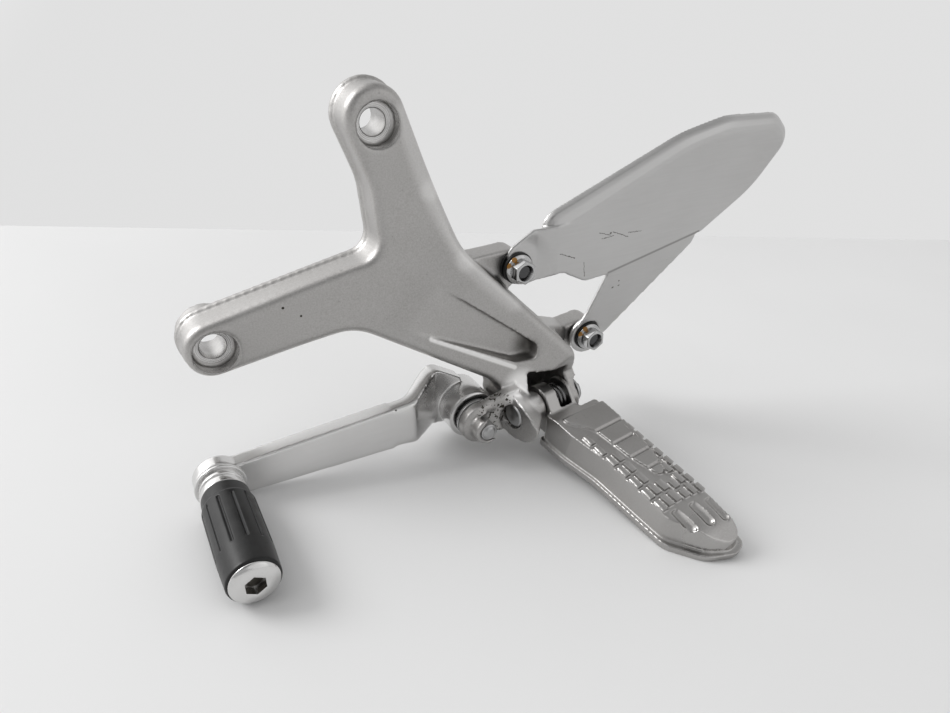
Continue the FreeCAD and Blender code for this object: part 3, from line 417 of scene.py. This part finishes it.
def steel_finish(name, tone, roughness, paint=(), dish_shade=(), tint=0.0):
    material, shader, place = finish(name)
    cloud = noise(place, 220.0, 3.0)
    fine = noise(place, 1800.0, 2.0)
    value = 0.5 + (cloud - 0.5) * 0.35 + (fine - 0.5) * 0.18
    colour = ramp(value, (0.30, rgb(tone * 0.68, tint)), (0.52, rgb(tone, tint)), (0.75, rgb(tone * 1.25, tint)))
    # Painted shade in the dished recesses.
    for centre, radius in dish_shade:
        colour = (spot(place, centre, radius, 0.7) * 0.85).mix(colour, (0.012, 0.012, 0.014, 1.0))
    dab = None
    for centre, radius in paint:
        one = spot(place, centre, radius)
        dab = one if dab is None else dab + one
    if dab is None:
        shader.inputs["Metallic"].default_value = 1.0
    else:
        dab = (dab * (noise(place, 900.0, 2.0) + 0.5)).step(0.35, 0.6)
        colour = dab.mix(colour, AMBER)
        wire(1 - dab, shader, "Metallic")
    wire(colour, shader, "Base Color")
    wire((roughness + (cloud - 0.5) * 0.2).limit(0.06, 0.8), shader, "Roughness")
    bump(shader, fine, 0.08, 0.0001)
    return material


def rubber_finish(name):
    material, shader, place = finish(name, Metallic=0.0, Specular_IOR_Level=0.35)
    cloud = noise(place, 160.0, 3.0)
    fine = noise(place, 2200.0, 2.0)
    dust = noise(place, 420.0, 3.0).step(0.58, 0.72) * 0.5
    colour = ramp(cloud, (0.35, rgb(0.006)), (0.55, rgb(0.010)), (0.75, rgb(0.016)))
    wire(dust.mix(colour, rgb(0.022, 0.02)), shader, "Base Color")
    wire(0.36 + (cloud - 0.5) * 0.25 + dust * 0.2, shader, "Roughness")
    bump(shader, fine, 0.15, 0.0001)
    return material


BOLT_1 = (98.8, -29.26, -29.3)
BOLT_2 = (144.0, -27.26, -77.0)
HEAD_DEPTH = 4.9
# Painted shade spots at the floors of the bolts' dished heads.
dish_shade_spots = [((x, y - HEAD_DEPTH, z), 4.4) for x, y, z in (BOLT_1, BOLT_2)]
paint_dabs = [((x + dx, y - 1.2, z + dz), size) for x, y, z in (BOLT_1, BOLT_2)
              for dx, dz, size in ((-6.2, 3.0, 1.7), (-3.2, 5.2, 1.6))]
steel = steel_finish("plated_steel", 0.46, 0.26)
bolt_steel = steel_finish("bolt_steel", 0.50, 0.16, paint=paint_dabs, dish_shade=dish_shade_spots)
pin_steel = steel_finish("pin_steel", 0.46, 0.32)
dark_steel = steel_finish("spring_steel", 0.20, 0.28)
bronze = steel_finish("bush_bronze", 0.34, 0.38, tint=0.35)
rubber = rubber_finish("moulded_rubber")
FINISH = {"cast_aluminium": casting, "sheet_aluminium": sheet, "polished_aluminium": lever_metal, "steel": steel,
          "dark_steel": dark_steel, "bronze": bronze, "rubber": rubber}
print("finishes", sorted(FINISH))

# %% [markdown]
# ## Machined seats
# The two frame screws sit in counterbores that were cut after casting. A cutter leaves fine rings, so the finish
# reads the distance to the nearer of the two bores and turns it into ridges.

# %% Machined seats' finish
BORES = [(37.3, 40.1), (-37.3, -40.1)]


def machined_finish():
    material, shader, place = finish("machined_seat", Metallic=1.0)
    flat = place.vector("MULTIPLY", place, (1, 0, 1))
    near = [flat.vector("DISTANCE", flat, (x * MM, 0, z * MM), out=1) for x, z in BORES]
    reach = near[0].math("MINIMUM", near[0], near[1])
    rings = reach.math("SINE", reach * 9000.0) * 0.5 + 0.5
    cloud = noise(place, 180.0, 3.0)
    value = rings * 0.4 + cloud * 0.6
    colour = ramp(value, (0.25, rgb(0.40, 0.02)), (0.55, rgb(0.58, 0.012)), (0.8, rgb(0.70, 0.01)))
    wire(colour, shader, "Base Color")
    wire(0.24 + (cloud - 0.5) * 0.2, shader, "Roughness")
    bump(shader, rings, 0.12, 0.0001)
    return material


machined = machined_finish()
print("finish", machined.name)

# %% [markdown]
# ## Dressing the solids
# Every solid of the frame first gets the finish of its slot. Pieces that are remade later replace theirs.

# %% Finishes on the solids
SLOT = {part["node"]: part["material_slot"] for part in frame["record"]["subparts"]}
for node, obj in frame["nodes"].items():
    obj.data.materials.clear()
    obj.data.materials.append(FINISH[SLOT[node]])
print("dressed", len(SLOT))

# %% [markdown]
# ## Grooves and edges
# Dirt stays in grooves and hands polish edges. The finishes darken grooves, partly as dirt and partly as painted
# shade, and lighten edges, partly as wear and partly as painted highlight. Each point of a mesh can tell which it
# is: if the mean of its neighbours lies above the surface it sits in a groove, if below it sits on an edge. The
# number is spread a little and kept in the mesh as the attribute `hollow`.


# %% Measure of grooves and edges
def mark_hollows(mesh, spacing, spread=4):
    count = len(mesh.vertices)
    place = np.empty(count * 3, dtype=np.float32)
    normal = np.empty(count * 3, dtype=np.float32)
    ends = np.empty(len(mesh.edges) * 2, dtype=np.int32)
    mesh.vertices.foreach_get("co", place)
    mesh.vertices.foreach_get("normal", normal)
    mesh.edges.foreach_get("vertices", ends)
    place, normal = place.reshape(-1, 3), normal.reshape(-1, 3)
    a, b = ends[0::2], ends[1::2]
    links = np.maximum(np.bincount(a, minlength=count) + np.bincount(b, minlength=count), 1)

    def around(values):
        return (np.bincount(a, values[b], count) + np.bincount(b, values[a], count)) / links

    pull = np.stack([around(place[:, k]) for k in range(3)], axis=1) - place
    hollow = (pull * normal).sum(axis=1) / spacing
    for _ in range(spread):
        hollow = 0.5 * hollow + 0.5 * around(hollow)
    mesh.attributes.new("hollow", "FLOAT", "POINT").data.foreach_set("value", hollow.astype(np.float32))
    return float(hollow.min()), float(hollow.max())


print("groove measure ready")

# %% [markdown]
# ## Softened castings
# A casting has no knife edges: sand and wax round every corner. One could bevel each edge, but the solids meet in
# hundreds of odd corners. A voxel remesh of the merged solid, followed by a few passes of smoothing, rounds them all
# by about the size of a voxel and leaves broad faces where they were. Where a forging was bent, more passes over that
# span alone round the bend.


# %% Softening helper
def settle(obj, material, body, slot, *nodes):
    """Give a finished mesh its material and its body, and hide the solids that it stands for."""
    obj.data.materials.clear()
    obj.data.materials.append(material)
    if body:
        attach(obj, body)
    if nodes:
        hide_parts(*nodes)
    return obj


def merged_copy(node):
    bm = bmesh.new()
    bm.from_mesh(frame["nodes"][node].data)
    bmesh.ops.remove_doubles(bm, verts=bm.verts, dist=1e-6)
    return bm


def joined(parts):
    """One bmesh from several."""
    whole = bmesh.new()
    for part in parts:
        mesh = bpy.data.meshes.new("part")
        part.to_mesh(mesh)
        part.free()
        whole.from_mesh(mesh)
        bpy.data.meshes.remove(mesh)
    return whole


def smooth(bm, verts, passes):
    for _ in range(passes):
        bmesh.ops.smooth_vert(bm, verts=verts, factor=0.5, use_axis_x=True, use_axis_y=True, use_axis_z=True)


def softened(node, voxel, passes, material, body, added=None, bend=None):
    """A rounded copy of a node; sizes in mm. bend is a span along X and the passes that it gets on top."""
    bm = merged_copy(node)
    if added:
        bm = joined([bm, added])
    mesh = bpy.data.meshes.new(node + "_soft")
    bm.to_mesh(mesh)
    bm.free()
    obj = bpy.data.objects.new(node + "_soft", mesh)
    bpy.context.collection.objects.link(obj)
    remesh = obj.modifiers.new("remesh", "REMESH")
    remesh.mode = "VOXEL"
    remesh.voxel_size = voxel * MM
    bpy.context.view_layer.update()
    made = bpy.data.meshes.new_from_object(obj.evaluated_get(bpy.context.evaluated_depsgraph_get()))
    obj.modifiers.clear()
    obj.data = made
    bm = bmesh.new()
    bm.from_mesh(made)
    smooth(bm, bm.verts, passes)
    if bend:
        low, high, more = bend
        smooth(bm, [v for v in bm.verts if low * MM < v.co.x < high * MM], more)
    bm.to_mesh(made)
    bm.free()
    made.shade_smooth()
    span = mark_hollows(made, voxel * MM)
    print(obj.name, "quads", len(made.polygons), "hollow %.2f to %.2f" % span)
    return settle(obj, material, body, SLOT[node], node)


print("softening ready")

# %% [markdown]
# ## Castings
# The foundry filled the corner between the lever's ear and the cheek with metal. A wedge with a slanted front does
# the same: its outline, with a bite for the pin's head, is extruded back to the ear's rear face, and the remesh melts
# it into the casting.

# %% Castings
EAR_REAR_Y = -47.6
WEDGE_X, WEDGE_Y, WEDGE_SLOPE = 60.0, -48.9, -0.225
JOG_FROM, JOG_TO, JOG_PASSES = 26.0, 52.0, 60
WEDGE = [(60.0, -84.5), (67.0, -81.8), (76.0, -79.8), (85.0, -78.5), (85.0, -83.9), (81.0, -84.6), (78.4, -86.8),
         (77.0, -90.0), (77.0, -92.0), (78.2, -95.2), (79.0, -98.6), (70.0, -97.5)]


def corner_wedge():
    bm = bmesh.new()
    front = [(x, WEDGE_Y + WEDGE_SLOPE * (x - WEDGE_X), z) for x, z in WEDGE]
    face = bm.faces.new([bm.verts.new([c * MM for c in corner]) for corner in front])
    raised = bmesh.ops.extrude_face_region(bm, geom=[face])["geom"]
    for vert in raised:
        if isinstance(vert, bmesh.types.BMVert):
            vert.co.y = EAR_REAR_Y * MM
    bmesh.ops.recalc_face_normals(bm, faces=bm.faces)
    return bm


softened("hanger_casting", 0.76, 3, casting, "hanger", corner_wedge())
softened("heel_guard", 0.52, 3, sheet, "hanger")
softened("gear_lever", 0.42, 5, lever_metal, "gear_lever", bend=(JOG_FROM, JOG_TO, JOG_PASSES))
softened("footpeg", 0.40, 2, peg_metal, "footpeg")
softened("toe_peg_rubber", 0.30, 2, rubber, "gear_lever")

# %% [markdown]
# ## A lathe
# Screws, washers and collars are turned parts. A lathe is one operator in Blender: a profile is spun round an axis.
# The profile is a list of radius and height in millimetres, its sharp rings are bevelled, and the result is laid
# along the piece's own axis. The spin's last ring meets its first, so doubles are merged and normals recalculated.


# %% Lathe helper
def bevel_sharp(bm, width, angle=25.0):
    sharp = [e for e in bm.edges if len(e.link_faces) == 2 and e.calc_face_angle(0.0) > math.radians(angle)]
    bmesh.ops.bevel(bm, geom=sharp, offset=width * MM, segments=3, profile=0.5, affect="EDGES", material=-1,
                    clamp_overlap=True)


def lay(bm, centre, axis):
    """Move a shape that was made round Z at the origin to its own axis; the centre is in mm."""
    tilt = Vector((0, 0, 1)).rotation_difference(Vector(axis)).to_matrix().to_4x4()
    bmesh.ops.transform(bm, verts=bm.verts, matrix=Matrix.Translation(Vector(centre) * MM) @ tilt)


def turned(profile, closed=False, edge=0.15, steps=72):
    bm = bmesh.new()
    points = [bm.verts.new((radius * MM, 0, height * MM)) for radius, height in profile]
    for a, b in zip(points, points[1:] + points[:1] if closed else points[1:]):
        bm.edges.new((a, b))
    bmesh.ops.spin(bm, geom=bm.verts[:] + bm.edges[:], axis=(0, 0, 1), cent=(0, 0, 0), angle=math.tau, steps=steps,
                   use_merge=True)
    bmesh.ops.remove_doubles(bm, verts=bm.verts, dist=1e-7)
    bmesh.ops.recalc_face_normals(bm, faces=bm.faces)
    if edge:
        bevel_sharp(bm, edge)
    return bm


def piece(name, bm, material, body, slot, *nodes, sharp=35.0):
    mesh = bpy.data.meshes.new(name)
    bm.to_mesh(mesh)
    bm.free()
    mesh.shade_smooth()
    mesh.set_sharp_from_angle(angle=math.radians(sharp))
    obj = bpy.data.objects.new(name, mesh)
    bpy.context.collection.objects.link(obj)
    print(name, "faces", len(mesh.polygons))
    return settle(obj, material, body, slot, *nodes)


print("lathe ready")

# %% [markdown]
# ## Machined seats for the frame screws
# The counterbores are cut, not cast, so their rims are crisp and their floors bright. A thin turned liner inside each
# softened bore brings the cutter's edge back without touching the casting.

# %% Machined seats
SEAT_FLOOR_Y = -17.0
LINER = [(9.25, 6.1), (9.05, 6.35), (8.85, 6.1), (8.85, 0.15), (5.75, 0.15), (5.35, -0.25), (5.35, -16.0),
         (5.8, -16.0), (5.8, -0.4), (9.25, -0.4)]
liners = []
for x, z in BORES:
    liner = turned(LINER, closed=True, edge=0.06)
    lay(liner, (x, SEAT_FLOOR_Y, z), OUTWARD)
    liners.append(liner)
piece("machined_seats", joined(liners), machined, "hanger", "cast_aluminium")

# %% [markdown]
# ## Guard bolts and grommets
# Flange bolts with a dished hexagon hold the heel guard in rubber grommets. The flange is turned. The hexagon is a
# six-sided circle that is extruded and bevelled; its top is inset, divided, pulled out to a round rim and pushed in.

# %% Guard bolts
FLATS = 10.0
DISH_RIM, DISH_FLOOR, DISH_DEPTH = 3.9, 2.9, 1.7


def hexagon_head(low, high):
    bm = bmesh.new()
    bmesh.ops.create_circle(bm, cap_ends=True, segments=6, radius=FLATS / math.sqrt(3) * MM)
    bmesh.ops.translate(bm, verts=bm.verts, vec=(0, 0, low * MM))
    raised = bmesh.ops.extrude_face_region(bm, geom=bm.faces[:])["geom"]
    verts = [v for v in raised if isinstance(v, bmesh.types.BMVert)]
    bmesh.ops.translate(bm, verts=verts, vec=(0, 0, (high - low) * MM))
    bmesh.ops.recalc_face_normals(bm, faces=bm.faces)
    bevel_sharp(bm, 0.45)
    top = max(bm.faces, key=lambda f: f.calc_center_median().z * f.calc_area())
    bmesh.ops.inset_region(bm, faces=[top], thickness=0.5 * MM)
    bmesh.ops.subdivide_edges(bm, edges=top.edges[:], cuts=5)
    for vert in top.verts:
        vert.co.xy = vert.co.xy.normalized() * DISH_RIM * MM
    sunk = bmesh.ops.extrude_discrete_faces(bm, faces=[top])["faces"][0]
    bmesh.ops.translate(bm, verts=sunk.verts, vec=(0, 0, -DISH_DEPTH * MM))
    centre = Matrix.Translation(sunk.calc_center_median())
    bmesh.ops.scale(bm, verts=sunk.verts, vec=(DISH_FLOOR / DISH_RIM,) * 2 + (1,), space=centre.inverted())
    return bm


FLANGED_SHANK = [(0, -17), (3.0, -17), (3.0, 0), (6.95, 0), (6.95, 0.9), (5.6, 1.6), (0, 1.6)]
heads = []
for place in (BOLT_1, BOLT_2):
    for part in (turned(FLANGED_SHANK), hexagon_head(1.0, 6.4)):
        lay(part, place, OUTWARD)
        heads.append(part)
piece("guard_bolts_made", joined(heads), bolt_steel, "hanger", "steel", "guard_bolts")

# %% Grommets
SHEET_T, LIP, SLACK = 2.0, 1.2, 0.03
FRONT = -2 * SLACK
FACE = FRONT - LIP
BACK = FACE - SHEET_T - LIP
GROMMET = [(4.53, FRONT), (7.6, FRONT), (7.6, FACE + SLACK), (6.0, FACE + SLACK), (6.0, FACE - SHEET_T - SLACK),
           (7.6, FACE - SHEET_T - SLACK), (7.6, BACK), (4.53, BACK)]
rings = []
for place in (BOLT_1, BOLT_2):
    ring = turned(GROMMET, closed=True, edge=0.35)
    lay(ring, place, OUTWARD)
    rings.append(ring)
piece("guard_grommets_made", joined(rings), rubber, "hanger", "rubber", "guard_grommets")

# %% [markdown]
# ## Footpeg pin
# The peg folds on a headed pin whose other end carries a clip. The head is low and slightly domed. Its axis follows
# the sweep of the peg, so the peg's own directions are worked out here once.

# %% Pin
SWEEP, DROOP = math.radians(9.0), math.radians(11.0)
PEG_PIVOT = Vector((109.9, -49.6, -90.9))
PIN_WAY = Vector((math.cos(SWEEP), math.sin(SWEEP), 0))
PEG_WAY = Vector((math.sin(SWEEP) * math.cos(DROOP), -math.cos(SWEEP) * math.cos(DROOP), -math.sin(DROOP)))
DECK_WAY = PEG_WAY.cross(PIN_WAY)
pin = turned([(0, 28.0), (3.2, 27.95), (4.9, 27.7), (5.8, 27.1), (5.8, 25.05), (4.25, 25.05), (4.25, -9.9),
              (3.2, -9.95), (3.2, -10.8), (4.25, -10.85), (4.25, -11.6), (3.8, -12.0), (0, -12.0)])
lay(pin, PEG_PIVOT, -PIN_WAY)
piece("peg_pivot_pin_made", pin, pin_steel, "hanger", "steel", "peg_pivot_pin")

# %% [markdown]
# ## Lever pivot
# A shoulder bolt runs through the lever's boss into the ear of the casting, where its end is riveted over. A washer
# and a rubber ring close the gap in front of the boss.

# %% Lever pivot
LEVER_AXIS = (67.0, 0.0, -91.5)
bolt = turned([(0, 60.6), (2.2, 60.5), (2.9, 60.0), (3.1, 59.7), (3.4, 59.9), (4.0, 59.5), (4.0, 47.4), (6.0, 47.37),
               (6.0, 22.0), (8.0, 22.0), (8.0, 16.7), (7.3, 16.0), (3.4, 16.0), (3.2, 19.4), (0, 19.5)])
lay(bolt, LEVER_AXIS, OUTWARD)
piece("lever_pivot_bolt_made", bolt, pin_steel, "hanger", "steel", "lever_pivot_bolt")
for name, high, low in (("lever_outer_washer", 47.37, 45.97), ("lever_inner_washer", 23.7, 22.3)):
    washer = turned([(6.1, high), (9.8, high), (9.8, low), (6.1, low)], closed=True, edge=0.2)
    lay(washer, LEVER_AXIS, OUTWARD)
    piece(name + "_made", washer, steel, "hanger", "steel", name)
seal = turned([(8.0, 45.9), (9.4, 45.9), (9.4, 44.35), (8.0, 44.35)], closed=True, edge=0.4)
lay(seal, LEVER_AXIS, OUTWARD)
piece("lever_seal_ring_made", seal, rubber, "hanger", "rubber", "lever_seal_ring")

# %% [markdown]
# ## Toe peg
# The toe peg is a turned collar with two beads, the rubber sleeve, and a wide domed screw with a hexagon socket that
# holds it all on the lever. The dome is turned with a round hole at its middle; a six-sided well closes the hole, its
# rim bridged to the round one.

# %% Toe peg collar and washer
TOE_AXIS = (-48.0, 0.0, -85.8)
collar = turned([(4.05, 48.06), (9.0, 48.06), (9.0, 50.7), (8.0, 51.1), (8.0, 51.6), (9.2, 52.2), (9.2, 55.56),
                 (6.2, 55.56), (6.2, 102.5), (4.05, 102.5)], closed=True, edge=0.45)
lay(collar, TOE_AXIS, OUTWARD)
piece("toe_peg_core_made", collar, turned_metal, "gear_lever", "polished_aluminium", "toe_peg_core")
disc = turned([(4.1, 46.53), (10.2, 46.53), (10.2, 48.03), (4.1, 48.03)], closed=True, edge=0.5)
lay(disc, TOE_AXIS, OUTWARD)
piece("toe_peg_washer_made", disc, turned_metal, "gear_lever", "polished_aluminium", "toe_peg_washer")

# %% Toe peg screw
SOCKET, SOCKET_RIM, SOCKET_DEPTH = 7.0, 104.6, 3.6


def socket_cap():
    bm = turned([(4.6, 104.72), (6.0, 104.55), (7.4, 104.1), (8.5, 103.5), (8.9, 103.0), (8.9, 102.6), (4.0, 102.6),
                 (4.0, 39.2), (0, 39.2)], edge=0.1)
    rim = [e for e in bm.edges if e.is_boundary]
    well = bmesh.ops.create_circle(bm, cap_ends=True, segments=6, radius=SOCKET / math.sqrt(3) * MM)["verts"]
    bmesh.ops.translate(bm, verts=well, vec=(0, 0, SOCKET_RIM * MM))
    floor = next(f for f in bm.faces if set(f.verts) == set(well))
    sunk = bmesh.ops.extrude_discrete_faces(bm, faces=[floor])["faces"][0]
    bmesh.ops.translate(bm, verts=sunk.verts, vec=(0, 0, -SOCKET_DEPTH * MM))
    edges = [e for e in bm.edges if e.is_boundary and e not in rim]
    bmesh.ops.bridge_loops(bm, edges=rim + edges)
    bmesh.ops.recalc_face_normals(bm, faces=bm.faces)
    return bm


cap = socket_cap()
lay(cap, TOE_AXIS, OUTWARD)
piece("toe_peg_screw_made", cap, screw_metal, "gear_lever", "steel", "toe_peg_screw")

# %% [markdown]
# ## Tread blocks
# Rows of blocks on the peg's deck grip the boot. Their edges are sharper than the softened casting can show, so each
# is a cube scaled to the peg's own directions. The row at the left edge is a half-round rail, so its long edges get a
# wide bevel, and a narrow one rounds all that is still sharp.

# %% Tread blocks
DECK, BLOCK_TOP, BLOCK_GAP = 2.2, 4.2, 1.6
RAIL_RIGHT, RAIL_ROUND = -8.0, 1.4
ROWS = [(-11.6, -8.4, 30.0, 80.5, 7), (-7.2, -4.0, 44.0, 80.0, 5), (-2.6, 1.0, 66.0, 80.0, 2),
        (2.6, 6.0, 69.0, 80.5, 2), (7.4, 10.2, 60.0, 81.0, 3), (11.4, 14.0, 34.0, 82.0, 8)]


def on_peg(u, v, n):
    return (PEG_PIVOT + PEG_WAY * u + PIN_WAY * v + DECK_WAY * n) * MM


bm = bmesh.new()
for left, right, first, last, count in ROWS:
    pitch = (last - first) / count
    for k in range(count):
        long = pitch - BLOCK_GAP
        middle = on_peg(first + k * pitch + long / 2, (left + right) / 2, (DECK + BLOCK_TOP) / 2)
        size = Matrix((PEG_WAY * long, PIN_WAY * (right - left), DECK_WAY * (BLOCK_TOP - DECK))).transposed() * MM
        bmesh.ops.create_cube(bm, size=1.0, matrix=Matrix.Translation(middle) @ size.to_4x4())
bmesh.ops.recalc_face_normals(bm, faces=bm.faces)
rail = [e for e in bm.edges if abs((e.verts[1].co - e.verts[0].co).normalized().dot(PEG_WAY)) > 0.9
        and (e.verts[0].co / MM - PEG_PIVOT).dot(PIN_WAY) < RAIL_RIGHT]
bmesh.ops.bevel(bm, geom=rail, offset=RAIL_ROUND * MM, segments=5, profile=0.5, affect="EDGES", material=-1,
                clamp_overlap=True)
sharp = [e for e in bm.edges if e.calc_face_angle(0.0) > math.radians(50)]
bmesh.ops.bevel(bm, geom=sharp, offset=0.4 * MM, segments=2, profile=0.5, affect="EDGES", material=-1,
                clamp_overlap=True)
piece("tread_blocks", bm, peg_metal, "footpeg", "cast_aluminium")

# %% [markdown]
# ## Smooth small parts
# The spring, the clip and the other small solids keep their shape. A merged copy with soft normals takes the facets
# off their round faces. The spring has one leg in the casting and one on the peg, so it rides on neither body.

# %% Small parts
FIXED_LEG, MOVING_LEG = -0.4, -3.2
for node, material in (("peg_pin_clip", dark_steel), ("peg_pin_washer", steel), ("guard_sleeves", steel)):
    piece(node + "_smooth", merged_copy(node), material, "hanger", SLOT[node], node)
coil = merged_copy("peg_return_spring")
spring = piece("peg_return_spring_smooth", coil, dark_steel, None, SLOT["peg_return_spring"], "peg_return_spring")
tuple(on_peg(0, FIXED_LEG, 0))
tuple(on_peg(0, MOVING_LEG, 0))
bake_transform(spring)
piece("lever_bush_smooth", merged_copy("lever_bush"), bronze, "gear_lever", SLOT["lever_bush"], "lever_bush")

# %% [markdown]
# ## Floor and light
# The part stands on a pale table on the tips of its two pegs, in front of a pale wall. The table is a wide disc, cut
# along the line where the wall begins. A large lamp stands at the back left and a wide weak one in front. The sky is
# bright at the back left, pale at the wall, and darker overhead and in the room behind the camera.

# %% Floor
TOE_TIP = Vector((-48.0, -104.0, -96.2)) * MM
PEG_TIP = Vector((125.0, -150.0, -121.5)) * MM
LEVEL = Vector((0.131, -0.035, 0.990)).normalized()
TABLE_RADIUS = 4.0
WALL_LEFT, WALL_RIGHT = (0, 225), (950, 240)


def on_table(across, down):
    """Where a pixel of the picture meets the table."""
    way = CAMERA_RIGHT * (across - PICTURE[0] / 2) + CAMERA_UP * (PICTURE[1] / 2 - down) + CAMERA_AHEAD * FOCAL_PIXELS
    return CAMERA_PLACE + way * ((TOE_TIP - CAMERA_PLACE).dot(LEVEL) / way.dot(LEVEL))


def floor_finish():
    material, shader, place = finish("pale_table", Metallic=0.0, Specular_IOR_Level=0.25)
    cloud = noise(place, 3.0, 3.0)
    marks = noise(place, 240.0, 2.0).step(0.80, 0.84) * 0.15
    wire(marks.mix(ramp(cloud, (0.3, rgb(0.74)), (0.7, rgb(0.78))), rgb(0.5)), shader, "Base Color")
    wire(0.38 + (cloud - 0.5) * 0.1, shader, "Roughness")
    return material


bm = bmesh.new()
bmesh.ops.create_circle(bm, cap_ends=True, segments=96, radius=TABLE_RADIUS)
tilt = Vector((0, 0, 1)).rotation_difference(LEVEL).to_matrix().to_4x4()
bmesh.ops.transform(bm, verts=bm.verts, matrix=Matrix.Translation((TOE_TIP + PEG_TIP) / 2) @ tilt)
left, right = on_table(*WALL_LEFT), on_table(*WALL_RIGHT)
bmesh.ops.bisect_plane(bm, geom=bm.verts[:] + bm.edges[:] + bm.faces[:], plane_co=left,
                       plane_no=LEVEL.cross(right - left).normalized(), clear_outer=True)
mesh = bpy.data.meshes.new("table")
bm.to_mesh(mesh)
bm.free()
table = bpy.data.objects.new("table", mesh)
bpy.context.collection.objects.link(table)
mesh.materials.append(floor_finish())
table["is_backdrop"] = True
print("wall line from", [round(v, 2) for v in left], "to", [round(v, 2) for v in right])


# %% Lamps and sky
def lamp(name, place, aim, size, power):
    light = bpy.data.lights.new(name, "AREA")
    light.shape = "DISK"
    light.size = size
    light.energy = power
    obj = bpy.data.objects.new(name, light)
    bpy.context.collection.objects.link(obj)
    way = (Vector(aim) - Vector(place)).normalized()
    obj.matrix_world = Matrix.Translation(place) @ way.to_track_quat("-Z", "Y").to_matrix().to_4x4()


MIDDLE = (0.05, -0.05, -0.05)
WINDOW_WAY = tuple(Vector((-0.62, 0.55, 0.55)).normalized())
ROOM_AHEAD = (0.474, 0.8805, 0)
lamp("key", (-1.62, 1.08, 1.73), MIDDLE, 1.3, 37.0)
lamp("fill", (0.9, -2.2, 1.2), MIDDLE, 3.0, 7.0)
world = bpy.data.worlds.new("studio")
bpy.context.scene.world = world
world.use_nodes = True
way = Signal(world.node_tree).node("ShaderNodeTexCoord", out=0)
rise = way.vector("DOT_PRODUCT", way, (0, 0, 1), out=1)
ahead = way.vector("DOT_PRODUCT", way, ROOM_AHEAD, out=1)
window = way.vector("DOT_PRODUCT", way, WINDOW_WAY, out=1)
glow = 0.75 - rise.step(0.45, 0.80) * 0.28 + window.step(0.50, 0.95) * 0.9
glow = glow - (0 - ahead).step(0.15, 0.75) * rise.step(-0.05, 0.12) * 0.30
shade = ramp(glow.limit(0.06, 1.6) * 0.5, (0.0, rgb(0.0)), (1.0, rgb(2.0)))
background = world.node_tree.nodes["Background"]
world.node_tree.links.new(shade.socket, background.inputs["Color"])
background.inputs["Strength"].default_value = 1.0
bpy.context.scene.view_settings.view_transform = "Standard"
print("lamps and sky set")

# %% [markdown]
# ## Size
# The looks must not change the part's size, so how far the dressed part's box has grown past the solids' box is
# printed.

# %% Boxes and end
low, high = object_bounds()
below = [round((a - b) / MM, 2) for a, b in zip(cad_low, low)]
above = [round((b - a) / MM, 2) for a, b in zip(cad_high, high)]
print("grown by mm", below, above)
